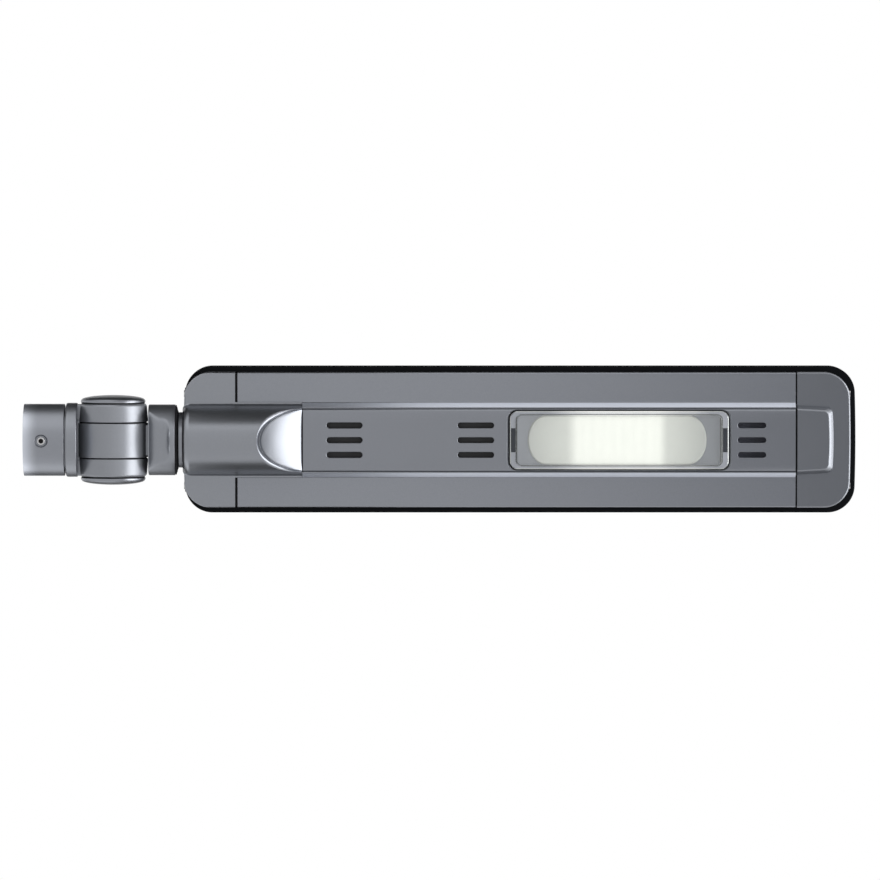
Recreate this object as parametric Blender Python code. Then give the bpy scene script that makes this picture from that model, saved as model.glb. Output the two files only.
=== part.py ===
"""Solar street lamp: a slim head with a solar panel on top, on an arm that tilts and turns.

Units are metres. The origin is the middle of the pole sleeve's open mouth. +X runs from the pole
out along the lamp, +Z is up, and the light shines down.
"""
from math import cos, pi, radians, sin, sqrt, tan

import bmesh
import bpy
from mathutils import Vector

# Clearance between pieces that touch
GAP = 0.0003

# Pole sleeve, for a 60 mm pole
SLEEVE_LENGTH = 0.0408
SLEEVE_RADIUS = 0.0360
SLEEVE_BORE = 0.03075
SLEEVE_CHAMFER = 0.0005
SET_SCREW_X = 0.0183
SET_SCREW_RADIUS = 0.0040
SET_SCREW_SOCKET = 0.0046
SET_SCREW_TIP = 0.0312
SET_SCREW_HEAD = 0.0348
SET_SCREW_SEAT = 0.0072

# Tilt hinge: two outer knuckles on the fork, one inner knuckle on the neck
HINGE_X = 0.0890
POLE_STOP_X = 0.0330
PLUG_RADIUS = SLEEVE_BORE - GAP
COLLAR_START = 0.0420
COLLAR_END = 0.0528
COLLAR_RADIUS = 0.0370
COLLAR_ROUNDING = 0.0020
EAR_INNER = 0.0183
EAR_OUTER = 0.0367
EAR_RADIUS = 0.0350
EAR_END_RADIUS = 0.0324
EAR_SHOULDER = 0.0110
EAR_WEB_HALF_HEIGHT = 0.0120
EAR_POCKET_RADIUS = 0.0200
EAR_POCKET_FLOOR = 0.0267
LUG_RADIUS = 0.0355
LUG_HALF_WIDTH = 0.0171
BOLT_RADIUS = 0.0080
BOLT_HOLE_RADIUS = 0.0083
BOLT_HEAD_FLATS = 0.0240
BOLT_HEAD_HEIGHT = 0.0090
BOLT_HEAD_FACE = 0.0110
BOLT_HEAD_CHAMFER = 0.0009
BUSH_RADIUS = 0.0110
WASHER_RADIUS = 0.0270
CAP_RADIUS = 0.0323
CAP_RIM = 0.0021
CAP_HEIGHT = 0.0078
CAP_DOME_RADIUS = 0.0317
CAP_DOME_STEPS = 4
CAP_PLUG_RADIUS = 0.0196
CAP_PLUG_WALL = 0.0028
CAP_PLUG_DEPTH = 0.0065

# Neck between the hinge and the turning joint
NECK_START = 0.1254
NECK_END = 0.1505
NECK_RADIUS = 0.0354
NECK_FLAT = 0.0294
NECK_WAIST = 0.0240
NECK_FILLET = 0.0060
NECK_FILLET_END = 0.1450
NECK_EDGE = 0.0010
NECK_EASE = 0.0015
NECK_WEB_HALF_HEIGHT = 0.0125
NECK_WEB_HALF_WIDTH = 0.0150
NECK_WEB_START = 0.1050
ROLL_X = 0.1520
SEAL_END = 0.1543
SEAL_TIP_RADIUS = 0.0284
PIVOT_RADIUS = 0.0120
PIVOT_SHOULDER = 0.1715
PIVOT_THREAD_RADIUS = 0.0080
PIVOT_END = 0.1900
PIVOT_WASHER_RADIUS = 0.0136
PIVOT_WASHER_THICKNESS = 0.0025
PIVOT_NUT_FLATS = 0.0235
PIVOT_NUT_HEIGHT = 0.0110

# Lamp head: stations along X, half widths along Y, levels along Z
REAR_CAP_START = 0.1595
REAR_CAP_END = 0.2110
PROFILE_START = 0.2135
PROFILE_END = 0.7717
FRONT_CAP_START = 0.7733
FRONT_CAP_END = 0.8270
PROFILE_HALF_WIDTH = 0.0674
CAP_HALF_WIDTH = 0.0679
CAP_CORNER = 0.0250
EDGE_BEVEL = 0.0012
WALL = 0.0026
WING_Z = -0.0025
FLOOR_Z = 0.0
WALL_TOP_Z = 0.0140
FLANGE_WIDTH = 0.0094
FLANGE_THICKNESS = 0.0024
RAIL_BASE = 0.0377
RAIL_TIP = 0.0316
RAIL_Z = -0.0092
STRIP_SEAT_HALF_WIDTH = 0.0313
STRIP_SEAT_Z = -0.0073
RIB_FLOOR_Z = -0.0052
RIB_INNER_HALF_WIDTH = 0.0330
RIB_FLOOR_HALF_WIDTH = 0.0386
FLUTE_Y = 0.0460
FLUTE_HALF_GAP = 0.0022
FLUTE_FIN = 0.0016
FLUTE_HEIGHT = 0.0090
END_SCREW_Z = 0.0055
GASKET_RECESS = 0.0010

# Arm socket: a half-round boss with filleted feet and a sloped end
BOSS_DEPTH = 0.0368
BOSS_CROWN = 0.0345
BOSS_FLANK = radians(78)
BOSS_FOOT_FILLET = 0.0030
BOSS_FOOT_Z = -0.0024
BOSS_TOP_Z = 0.0015
BOSS_WALL = 0.0032
BOSS_START = 0.1586
BOSS_END = 0.2780
BOSS_FILLET = 0.0075
BOSS_FRONT_WALL_END = 0.1720
NOSE_START = SEAL_END + GAP
NOSE_END = 0.1592
NOSE_RADIUS = 0.0278
NOSE_TRIM_Z = 0.0137
RAMP_START = 0.2335
RAMP_SLOPE = 0.60
RAMP_EASE = 0.0030
RAMP_SPACING = 1.4
NOTCH_CLEARANCE = 0.0003

# Raised rib on the front cap
FRONT_RIB_END = 0.8100
FRONT_RIB_FACE_END = 0.8060
FRONT_RIB_BASE = 0.0348
FRONT_RIB_FACE = 0.0308
FRONT_RIB_Z = -0.0096
FRONT_RIB_CORNER = 0.0045
FRONT_RIB_EDGE = 0.00075

# Cover strip with vent slots
STRIP_START = 0.2790
STRIP_END = 0.7714
STRIP_EDGE_Z = -0.0093
STRIP_CROWN = 0.0008
STRIP_EDGE = 0.0005
STRIP_STEPS = 10
SLOT_HALF_WIDTH = 0.0029
SLOT_PITCH = 0.01475
SLOT_GROUPS = ((0.3025, 0.3385), (0.4335, 0.4700), (0.7135, 0.7420))
SLOT_WINDOW_MARGIN = 0.0040
SLOT_WINDOW_HALF_WIDTH = 0.0210

# Light: lens cover, tray, diffuser, LED board and heat spreader
LENS_START = 0.4845
LENS_END = 0.7045
LENS_HALF_WIDTH = 0.0296
LENS_CORNER = 0.0070
LENS_FLANGE_Z = -0.0106
LENS_FLANGE_TOP_Z = -0.0089
LENS_FACE_Z = -0.0124
LENS_PLATEAU_MARGIN_X = 0.0080
LENS_PLATEAU_MARGIN_Y = 0.0050
LENS_STEP = 0.0012
LENS_SKIN = 0.0016
LENS_EDGE = 0.0005
LENS_LEAST_CORNER = 0.0015
CLIP_LENGTH = 0.0240
CLIP_WIDTH = 0.0044
CLIP_OFFSET = 0.0044
LIGHT_WINDOW_MARGIN_X = 0.0085
LIGHT_WINDOW_HALF_WIDTH = 0.0255
TRAY_MARGIN_X = 0.0045
TRAY_HALF_WIDTH = 0.0285
TRAY_THICKNESS = 0.0015
TRAY_CORNER = 0.0040
DIFFUSER_START = 0.5040
DIFFUSER_END = 0.6825
DIFFUSER_HALF_WIDTH = 0.0246
DIFFUSER_END_LENGTH = 0.0185
DIFFUSER_BRIM = 0.0026
DIFFUSER_FACE_Z = -0.0084
DIFFUSER_SKIN = 0.0016
DIFFUSER_EDGE = 0.0006
BOARD_START = 0.5200
BOARD_END = 0.6660
BOARD_HALF_WIDTH = 0.0200
BOARD_THICKNESS = 0.0016
LED_SIZE = 0.0035
LED_HEIGHT = 0.0008
LED_COLUMNS = 9
LED_COLUMN_PITCH = 0.0104
LED_ROWS = 2
LED_ROW_PITCH = 0.0140
LED_MIDDLE_X = 0.5945
SPREADER_START = 0.5050
SPREADER_END = 0.6810
SPREADER_HALF_WIDTH = 0.0312
SPREADER_TOP_Z = 0.0052
SPREADER_WALL = 0.0022

# Solar panel
FRAME_START = 0.1600
FRAME_END = 0.8325
FRAME_HALF_WIDTH = 0.0735
FRAME_CORNER = 0.0260
FRAME_BOTTOM_Z = WALL_TOP_Z + GAP
FRAME_TOP_Z = 0.0360
FRAME_WALL = 0.0026
FRAME_FOOT_WIDTH = 0.0160
FRAME_FOOT_THICKNESS = 0.0025
FRAME_LEDGE_WIDTH = 0.0080
FRAME_LEDGE_Z = 0.0296
FRAME_LEDGE_THICKNESS = 0.0020
FRAME_LIP_WIDTH = 0.0045
FRAME_LIP_THICKNESS = 0.0011
FRAME_ROUNDING = 0.0022
GLASS_THICKNESS = 0.0032
SHEET_THICKNESS = 0.0008
CELL_COUNT = 12
CELL_PITCH = 0.0540
CELL_GAP = 0.0020
CELL_HALF_WIDTH = 0.0625
CELL_THICKNESS = 0.0004

# Battery of three by three 26650 cells, held by straps
BATTERY_START = 0.2830
BATTERY_LENGTH = 0.2000
CELL_DIAMETER = 0.0266
BATTERY_CELLS_ACROSS = 3
STRAP_WIDTH = 0.0120
STRAP_THICKNESS = 0.0010
STRAP_PLACES = (0.25, 0.75)
BATTERY_EDGE = 0.0015
BATTERY_STEPS = 8

# Charge controller, junction box and leads
CONTROLLER_START = 0.7100
CONTROLLER_END = 0.7640
CONTROLLER_HALF_WIDTH = 0.0418
CONTROLLER_POST = 0.0014
CONTROLLER_Z = 0.0060
TERMINAL_INSET = 0.0020
TERMINAL_LENGTH = 0.0100
TERMINAL_HALF_WIDTH = 0.0060
TERMINAL_HEIGHT = 0.0100
BATTERY_TERMINAL_Y = -0.0300
LED_TERMINAL_Y = -0.0080
PANEL_TERMINAL_Y = 0.0140
CHIP = ((0.0200, -0.0080), (0.0280, 0.0000), 0.0016)
CAPACITOR = ((0.0340, -0.0300), (0.0460, -0.0180), 0.0070)
CHOKE = ((0.0200, 0.0200), (0.0320, 0.0320), 0.0100)
JUNCTION_START = 0.5900
JUNCTION_END = 0.6500
JUNCTION_HALF_WIDTH = 0.0220
JUNCTION_HEIGHT = 0.0100
JUNCTION_DRAFT = 0.0020
JUNCTION_CORNER = 0.0045
LEAD_RADIUS = 0.0015
LEAD_STUB = 0.0060
LEAD_STEPS = 2

# Screws
END_SCREW_RADIUS = 0.0019
END_SCREW_HEAD = 0.0036
END_SCREW_HEAD_HEIGHT = 0.0024
END_SCREW_LENGTH = 0.0680
END_SCREW_SOCKET = 0.0027
END_SCREW_SOCKET_DEPTH = 0.0014
END_SCREW_PAD = 0.0062
END_SCREW_PAD_LENGTH = 0.0080
FRAME_SCREW_Y = 0.0610
FRAME_SCREW_XS = (0.2600, 0.4900, 0.7300)
FRAME_SCREW_RADIUS = 0.0016
FRAME_SCREW_HEAD = 0.0033
FRAME_SCREW_HEAD_HEIGHT = 0.0020
FRAME_SCREW_TIP_Z = 0.0195
SCREW_HOLE_CLEARANCE = 0.0004

ROUND_STEPS = 32
SMALL_STEPS = 18
SCREW_STEPS = 10
CORNER_STEPS = 5
SLOT_STEPS = 5
NECK_STEPS = 36
WAIST_STEPS = 4
FILLET_STEPS = 3
CROWN_STEPS = 18
FOOT_STEPS = 4
RAMP_STATIONS = 9
HOLLOW_STATIONS = 5
OVERSHOOT = 0.0040
MERGE = 1e-6
SHARP_ANGLE = radians(32)

ALONG_Y = (0.0, 0.0, pi / 2)
ALONG_MINUS_Y = (0.0, 0.0, -pi / 2)
ALONG_Z = (0.0, -pi / 2, 0.0)
ALONG_MINUS_Z = (0.0, pi / 2, 0.0)
ALONG_MINUS_X = (0.0, 0.0, pi)

FINISHES = {
    "silver_paint": ((0.26, 0.27, 0.28), 0.42, 0.6),
    "cast_silver": ((0.30, 0.31, 0.33), 0.38, 0.7),
    "zinc_steel": ((0.55, 0.55, 0.56), 0.35, 1.0),
    "bronze": ((0.52, 0.36, 0.16), 0.4, 1.0),
    "black_rubber": ((0.015, 0.015, 0.016), 0.8, 0.0),
    "black_plastic": ((0.012, 0.013, 0.015), 0.45, 0.0),
    "clear_plastic": ((0.85, 0.88, 0.88), 0.08, 0.0),
    "opal_plastic": ((0.86, 0.87, 0.84), 0.5, 0.0),
    "white_board": ((0.8, 0.8, 0.78), 0.5, 0.0),
    "bare_aluminium": ((0.7, 0.71, 0.73), 0.4, 1.0),
    "solar_glass": ((0.05, 0.06, 0.08), 0.06, 0.0),
    "solar_cells": ((0.012, 0.016, 0.035), 0.25, 0.2),
    "battery_wrap": ((0.03, 0.10, 0.22), 0.45, 0.0),
    "green_board": ((0.02, 0.12, 0.06), 0.5, 0.0),
    "red_lead": ((0.45, 0.02, 0.02), 0.5, 0.0),
}
MATERIALS = {}
BODY_ORIGINS = {}
BODIES = {}


# Scene set-up

def clear_scene():
    for old in list(bpy.data.objects):
        bpy.data.objects.remove(old, do_unlink=True)


def make_materials():
    for name, (colour, roughness, metallic) in FINISHES.items():
        finish = bpy.data.materials.new(name)
        finish.use_nodes = True
        shader = finish.node_tree.nodes["Principled BSDF"]
        shader.inputs["Base Color"].default_value = (*colour, 1.0)
        shader.inputs["Roughness"].default_value = roughness
        shader.inputs["Metallic"].default_value = metallic
        MATERIALS[name] = finish


def make_body(name, at, parent=None):
    """An empty on a joint's axis, which carries the pieces that move together."""
    body = bpy.data.objects.new(name, None)
    bpy.context.collection.objects.link(body)
    BODY_ORIGINS[name] = Vector(at)
    BODIES[name] = body
    body.location = BODY_ORIGINS[name]
    if parent:
        body.parent = BODIES[parent]
        body.location = BODY_ORIGINS[name] - BODY_ORIGINS[parent]


def add(name, shape, finish, body, at=(0.0, 0.0, 0.0), turn=(0.0, 0.0, 0.0)):
    """Make a named object from a bmesh and hang it on its body at a place in the lamp's frame."""
    mesh = bpy.data.meshes.new(name)
    shape.to_mesh(mesh)
    shape.free()
    mesh.shade_smooth()
    mesh.set_sharp_from_angle(angle=SHARP_ANGLE)
    mesh.materials.append(MATERIALS[finish])
    piece = bpy.data.objects.new(name, mesh)
    bpy.context.collection.objects.link(piece)
    piece.parent = BODIES[body]
    piece.location = Vector(at) - BODY_ORIGINS[body]
    piece.rotation_euler = turn
    return piece


def combine(piece, operation, name, shape, at=(0.0, 0.0, 0.0), turn=(0.0, 0.0, 0.0)):
    """Join a tool shape to a piece, or cut it out, with a Boolean modifier."""
    body = piece.parent.name
    tool = add(f"{piece.name}_{name}", shape, "zinc_steel", body, at, turn)
    tool.hide_render = True
    tool.display_type = 'WIRE'
    modifier = piece.modifiers.new(name, 'BOOLEAN')
    modifier.operation = operation
    modifier.solver = 'EXACT'
    modifier.object = tool


def join(piece, name, shape, at=(0.0, 0.0, 0.0), turn=(0.0, 0.0, 0.0)):
    combine(piece, 'UNION', name, shape, at, turn)


def cut(piece, name, shape, at=(0.0, 0.0, 0.0), turn=(0.0, 0.0, 0.0)):
    combine(piece, 'DIFFERENCE', name, shape, at, turn)


# Outlines and sections

def circle(radius, count):
    return [(radius * cos(2 * pi * i / count), radius * sin(2 * pi * i / count)) for i in range(count)]


def hexagon(across_flats, count):
    """Points at even angles on a hexagon, so that it lofts to a circle of the same count."""
    points = []
    for i in range(count):
        angle = 2 * pi * i / count
        from_flat = (angle + pi / 6) % (pi / 3) - pi / 6
        reach = across_flats / 2 / cos(from_flat)
        points.append((reach * cos(angle), reach * sin(angle)))
    return points


def arc(middle, radius_x, radius_y, start, end, steps):
    angles = [start + (end - start) * i / steps for i in range(steps + 1)]
    return [(middle[0] + radius_x * cos(a), middle[1] + radius_y * sin(a)) for a in angles]


def plan(start, end, half_width, rear_corner, front_corner, steps=CORNER_STEPS):
    """A rectangle seen from above, with its rear and front corners rounded, or square at radius 0."""
    points = []
    corners = ((end, 1, front_corner, -1), (start, 1, rear_corner, 1),
               (start, -1, rear_corner, 1), (end, -1, front_corner, -1))
    for quarter, (x, side, radius, inward) in enumerate(corners):
        if radius == 0:
            points.append((x, side * half_width))
            continue
        middle = (x + inward * radius, side * (half_width - radius))
        begin = quarter * pi / 2
        points += arc(middle, radius, radius, begin, begin + pi / 2, steps)
    return points


def oval(start, end, half_width, end_length, steps):
    """A slot-like outline whose two ends are half ellipses."""
    front = arc((end - end_length, 0.0), end_length, half_width, -pi / 2, pi / 2, steps)
    rear = arc((start + end_length, 0.0), end_length, half_width, pi / 2, 3 * pi / 2, steps)
    return front + rear


def eased_min(a, b, ease):
    """The smaller of two lengths, rounded off where they are within ease of each other."""
    near = max(ease - abs(a - b), 0.0) / ease
    return min(a, b) - near * near * ease / 4


def barrel_section(radius, flat):
    """A round section planed to a flat above and below."""
    points = []
    for i in range(NECK_STEPS):
        angle = 2 * pi * i / NECK_STEPS
        upright = abs(cos(angle))
        rho = radius
        if upright * radius * 2 > flat:
            rho = eased_min(radius, flat / upright, NECK_EASE)
        points.append((rho * sin(angle), -rho * cos(angle)))
    return points


def at_x(x, section):
    return [Vector((x, y, z)) for y, z in section]


def at_z(z, outline):
    return [Vector((x, y, z)) for x, y in outline]


# Solids

def loft(rings, closed=False):
    """A solid skinned over rings of equal counts. A closed one joins its last ring to its first."""
    shape = bmesh.new()
    loops = [[shape.verts.new(point) for point in ring] for ring in rings]
    count = len(loops[0])
    followers = loops[1:] + loops[:1] if closed else loops[1:]
    for near, far in zip(loops, followers):
        for i in range(count):
            shape.faces.new((near[i - 1], near[i], far[i], far[i - 1]))
    if not closed:
        shape.faces.new(loops[0])
        shape.faces.new(loops[-1])
    bmesh.ops.recalc_face_normals(shape, faces=shape.faces)
    return shape


def turned(profile, steps=ROUND_STEPS):
    """A profile of (along, radius) points spun about the X axis, solid if it starts on the axis."""
    shape = bmesh.new()
    points = [shape.verts.new((along, 0.0, radius)) for along, radius in profile]
    edges = [shape.edges.new(pair) for pair in zip(points, points[1:])]
    if profile[0][1] > 0:
        edges.append(shape.edges.new((points[-1], points[0])))
    bmesh.ops.spin(shape, geom=points + edges, cent=(0, 0, 0), axis=(1, 0, 0), angle=2 * pi,
                   steps=steps, use_merge=True)
    bmesh.ops.remove_doubles(shape, verts=shape.verts, dist=MERGE)
    ends = ((profile[0], profile[1]), (profile[-1], profile[-2]))
    flat = [end[0] for end, beside in ends if end[1] == 0 and end[0] == beside[0]]
    on_axis = [vert for vert in shape.verts if vert.co.yz.length < MERGE]
    middles = [vert for vert in on_axis if any(abs(vert.co.x - x) < MERGE for x in flat)]
    bmesh.ops.dissolve_verts(shape, verts=middles)
    bmesh.ops.recalc_face_normals(shape, faces=shape.faces)
    return shape


def rod(start, end, radius, steps=SMALL_STEPS):
    return turned([(start, 0.0), (start, radius), (end, radius), (end, 0.0)], steps)


def tube(start, end, inner, outer, steps=ROUND_STEPS):
    return turned([(start, inner), (start, outer), (end, outer), (end, inner)], steps)


def boxes(*corner_pairs):
    """Boxes that don't touch each other, in one shape, each given by its lowest and highest corner."""
    shape = bmesh.new()
    for low, high in corner_pairs:
        made = bmesh.ops.create_cube(shape, size=1.0)
        for vert in made["verts"]:
            for k in range(3):
                vert.co[k] = low[k] if vert.co[k] < 0 else high[k]
    bmesh.ops.recalc_face_normals(shape, faces=shape.faces)
    return shape


def prisms(place, outlines, low, high):
    """Straight solids that don't touch each other, in one shape, along X with at_x or along Z with at_z."""
    shape = bmesh.new()
    for outline in outlines:
        rings = [[shape.verts.new(point) for point in place(level, outline)] for level in (low, high)]
        for i in range(len(outline)):
            shape.faces.new((rings[0][i - 1], rings[0][i], rings[1][i], rings[1][i - 1]))
        for ring in rings:
            shape.faces.new(ring)
    bmesh.ops.recalc_face_normals(shape, faces=shape.faces)
    return shape


def moved(outline, across, up):
    return [(a + across, b + up) for a, b in outline]


def mirrored(half):
    """A section given by the chain of points of its +Y half, closed by its mirror image."""
    return half + [(-y, z) for y, z in reversed(half)]


# Pole bracket: sleeve, fork and hinge hardware

def make_sleeve():
    outer = SLEEVE_RADIUS - SLEEVE_CHAMFER
    sleeve = add("pole_sleeve", turned([
        (0.0, SLEEVE_BORE), (0.0, outer), (SLEEVE_CHAMFER, SLEEVE_RADIUS),
        (SLEEVE_LENGTH - SLEEVE_CHAMFER, SLEEVE_RADIUS), (SLEEVE_LENGTH, outer),
        (SLEEVE_LENGTH, SLEEVE_BORE)]), "silver_paint", "pole_bracket")
    hole = SET_SCREW_RADIUS + GAP
    seat_depth = SET_SCREW_SEAT - hole
    mouth = SLEEVE_RADIUS + GAP
    cut(sleeve, "screw_holes", turned([
        (-mouth, 0.0), (-mouth, SET_SCREW_SEAT), (seat_depth - mouth, hole),
        (mouth - seat_depth, hole), (mouth, SET_SCREW_SEAT), (mouth, 0.0)], SMALL_STEPS),
        at=(SET_SCREW_X, 0.0, 0.0), turn=ALONG_Z)
    for name, turn in (("sleeve_screw_top", ALONG_Z), ("sleeve_screw_bottom", ALONG_MINUS_Z)):
        socket = hexagon(SET_SCREW_SOCKET, SMALL_STEPS)
        socket_floor = (SET_SCREW_TIP + SET_SCREW_HEAD) / 2
        add(name, loft([
            at_x(SET_SCREW_TIP, circle(SET_SCREW_RADIUS, SMALL_STEPS)),
            at_x(SET_SCREW_HEAD, circle(SET_SCREW_RADIUS, SMALL_STEPS)),
            at_x(SET_SCREW_HEAD, socket), at_x(socket_floor, socket)]),
            "zinc_steel", "pole_bracket", at=(SET_SCREW_X, 0.0, 0.0), turn=turn)


def ear():
    """An outer knuckle about the X axis, drawn in towards its outer end."""
    taper = EAR_RADIUS - EAR_END_RADIUS
    shoulder = arc((EAR_OUTER - EAR_SHOULDER, EAR_END_RADIUS), EAR_SHOULDER, taper,
                   pi / 2, 0.0, FILLET_STEPS)
    return turned([(EAR_INNER, 0.0), (EAR_INNER, EAR_RADIUS), *shoulder, (EAR_OUTER, 0.0)])


def make_fork():
    rounding = arc((COLLAR_START + COLLAR_ROUNDING, COLLAR_RADIUS - COLLAR_ROUNDING),
                   COLLAR_ROUNDING, COLLAR_ROUNDING, pi, pi / 2, FILLET_STEPS)
    fork = add("hinge_fork", turned([
        (POLE_STOP_X, 0.0), (POLE_STOP_X, PLUG_RADIUS), (COLLAR_START, PLUG_RADIUS), *rounding,
        (COLLAR_END, COLLAR_RADIUS), (COLLAR_END, 0.0)]), "cast_silver", "pole_bracket")
    hinge = (HINGE_X, 0.0, 0.0)
    web_start = COLLAR_END - 2 * OVERSHOOT
    web_inner = EAR_INNER + OVERSHOOT / 4
    web_outer = EAR_OUTER - OVERSHOOT
    for side, turn in (("left", ALONG_Y), ("right", ALONG_MINUS_Y)):
        sign = 1 if side == "left" else -1
        near, far = sorted((sign * web_inner, sign * web_outer))
        join(fork, f"{side}_ear", ear(), at=hinge, turn=turn)
        join(fork, f"{side}_web", boxes(((web_start, near, -EAR_WEB_HALF_HEIGHT),
                                         (HINGE_X, far, EAR_WEB_HALF_HEIGHT))))
    reach = EAR_OUTER + OVERSHOOT
    cut(fork, "bolt_hole", rod(-reach, reach, BOLT_HOLE_RADIUS), at=hinge, turn=ALONG_Y)
    for side, turn in (("left", ALONG_Y), ("right", ALONG_MINUS_Y)):
        cut(fork, f"{side}_pocket", rod(EAR_POCKET_FLOOR, reach, EAR_POCKET_RADIUS, ROUND_STEPS),
            at=hinge, turn=turn)


def make_hinge_hardware():
    hinge = (HINGE_X, 0.0, 0.0)
    seat = EAR_POCKET_FLOOR + GAP
    end = seat + BOLT_HEAD_HEIGHT
    shank = circle(BOLT_RADIUS, SMALL_STEPS)
    head = hexagon(BOLT_HEAD_FLATS, SMALL_STEPS)
    face = circle(BOLT_HEAD_FACE, SMALL_STEPS)
    edge = end - BOLT_HEAD_CHAMFER
    add("hinge_bolt", loft([
        at_x(-end, shank), at_x(seat, shank), at_x(seat, head), at_x(edge, head), at_x(end, face)]),
        "zinc_steel", "pole_bracket", at=hinge, turn=ALONG_Y)
    hole = circle(BOLT_HOLE_RADIUS, SMALL_STEPS)
    add("hinge_nut", loft([
        at_x(seat, hole), at_x(seat, head), at_x(edge, head), at_x(end, face), at_x(end, hole)],
        closed=True), "zinc_steel", "pole_bracket", at=hinge, turn=ALONG_MINUS_Y)
    dome = arc((CAP_RIM, 0.0), CAP_HEIGHT - CAP_RIM, CAP_DOME_RADIUS, pi / 2, 0.0, CAP_DOME_STEPS)
    for side, turn in (("left", ALONG_Y), ("right", ALONG_MINUS_Y)):
        sign = 1 if side == "left" else -1
        add(f"friction_washer_{side}",
            tube(LUG_HALF_WIDTH + GAP, EAR_INNER - GAP, BOLT_HOLE_RADIUS, WASHER_RADIUS, SMALL_STEPS),
            "zinc_steel", "pole_bracket", at=hinge, turn=turn)
        add(f"hinge_cap_{side}", turned([
            (0.0, 0.0), (0.0, CAP_PLUG_RADIUS - CAP_PLUG_WALL),
            (-CAP_PLUG_DEPTH, CAP_PLUG_RADIUS - CAP_PLUG_WALL), (-CAP_PLUG_DEPTH, CAP_PLUG_RADIUS),
            (0.0, CAP_PLUG_RADIUS), (0.0, CAP_RADIUS), (CAP_RIM, CAP_RADIUS), *dome]),
            "cast_silver", "pole_bracket", at=(HINGE_X, sign * (EAR_OUTER + GAP), 0.0), turn=turn)


# Neck: inner knuckle, barrel and pivot

def neck_barrel():
    """A round barrel hollowed above and below towards the hinge, with a fillet up to its flange."""
    full = 2 * NECK_RADIUS
    fillet_start = NECK_FILLET_END - NECK_FILLET
    stations = [(NECK_START, NECK_RADIUS - NECK_EDGE, NECK_WAIST)]
    hollow_start = NECK_START + NECK_EDGE
    for i in range(WAIST_STEPS):
        left = 1 - i / WAIST_STEPS
        stations.append((fillet_start + (hollow_start - fillet_start) * left, NECK_RADIUS,
                         NECK_FLAT - (NECK_FLAT - NECK_WAIST) * left * left))
    for i in range(FILLET_STEPS + 1):
        along = NECK_FILLET * sin(i * pi / 2 / FILLET_STEPS)
        rise = NECK_FILLET - sqrt(NECK_FILLET ** 2 - along ** 2)
        stations.append((fillet_start + along, NECK_RADIUS, NECK_FLAT + rise))
    stations.append((NECK_FILLET_END + NECK_EDGE / 4, NECK_RADIUS, full))
    stations.append((NECK_END - NECK_EDGE / 2, NECK_RADIUS, full))
    stations.append((NECK_END, NECK_RADIUS - NECK_EDGE / 2, full))
    return loft([at_x(x, barrel_section(radius, flat)) for x, radius, flat in stations])


def make_neck():
    neck = add("hinge_neck", tube(-LUG_HALF_WIDTH, LUG_HALF_WIDTH, BUSH_RADIUS + GAP, LUG_RADIUS),
               "cast_silver", "tilt_axis", at=(HINGE_X, 0.0, 0.0), turn=ALONG_Y)
    join(neck, "barrel", neck_barrel())
    join(neck, "web", boxes(((NECK_WEB_START, -NECK_WEB_HALF_WIDTH, -NECK_WEB_HALF_HEIGHT),
                             (NECK_START + OVERSHOOT, NECK_WEB_HALF_WIDTH, NECK_WEB_HALF_HEIGHT))))
    join(neck, "pivot", turned([
        (NECK_END - OVERSHOOT, 0.0), (NECK_END - OVERSHOOT, PIVOT_RADIUS),
        (PIVOT_SHOULDER, PIVOT_RADIUS), (PIVOT_SHOULDER, PIVOT_THREAD_RADIUS),
        (PIVOT_END, PIVOT_THREAD_RADIUS), (PIVOT_END, 0.0)], SMALL_STEPS))
    add("hinge_bush", tube(-LUG_HALF_WIDTH, LUG_HALF_WIDTH, BOLT_HOLE_RADIUS, BUSH_RADIUS, SMALL_STEPS),
        "bronze", "tilt_axis", at=(HINGE_X, 0.0, 0.0), turn=ALONG_Y)
    bore = PIVOT_RADIUS + GAP
    add("swivel_seal", turned([
        (NECK_END + GAP, bore), (NECK_END + GAP, NECK_RADIUS - NECK_EDGE / 2),
        (SEAL_END, SEAL_TIP_RADIUS), (SEAL_END, bore)]), "black_rubber", "tilt_axis")
    washer_start = BOSS_FRONT_WALL_END + GAP
    washer_end = washer_start + PIVOT_WASHER_THICKNESS
    thread = PIVOT_THREAD_RADIUS + GAP
    add("pivot_washer", tube(washer_start, washer_end, thread, PIVOT_WASHER_RADIUS, SMALL_STEPS),
        "zinc_steel", "tilt_axis")
    nut_start = washer_end + GAP
    nut_end = nut_start + PIVOT_NUT_HEIGHT
    flats = hexagon(PIVOT_NUT_FLATS, SMALL_STEPS)
    hole = circle(thread, SMALL_STEPS)
    add("pivot_nut", loft([at_x(nut_start, hole), at_x(nut_start, flats), at_x(nut_end, flats),
                           at_x(nut_end, hole)], closed=True), "zinc_steel", "tilt_axis")


# Lamp head: castings and body profile

def end_tray(start, end, rear_corner, front_corner):
    """The outside of an end casting, bevelled along its lower edge."""
    def ring(inset, z):
        rear = max(rear_corner - inset, 0.0)
        front = max(front_corner - inset, 0.0)
        rear_inset = inset if rear_corner else 0.0
        front_inset = inset if front_corner else 0.0
        return at_z(z, plan(start + rear_inset, end - front_inset, CAP_HALF_WIDTH - inset, rear, front))
    return loft([ring(EDGE_BEVEL, WING_Z), ring(0.0, WING_Z + EDGE_BEVEL), ring(0.0, WALL_TOP_Z)])


def end_cavity(start, end, rear_corner, front_corner):
    """The hollow of an end casting, open above and towards the body profile."""
    outline = plan(start, end, CAP_HALF_WIDTH - WALL, rear_corner, front_corner)
    return prisms(at_z, [outline], FLOOR_Z, WALL_TOP_Z + OVERSHOOT)


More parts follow.
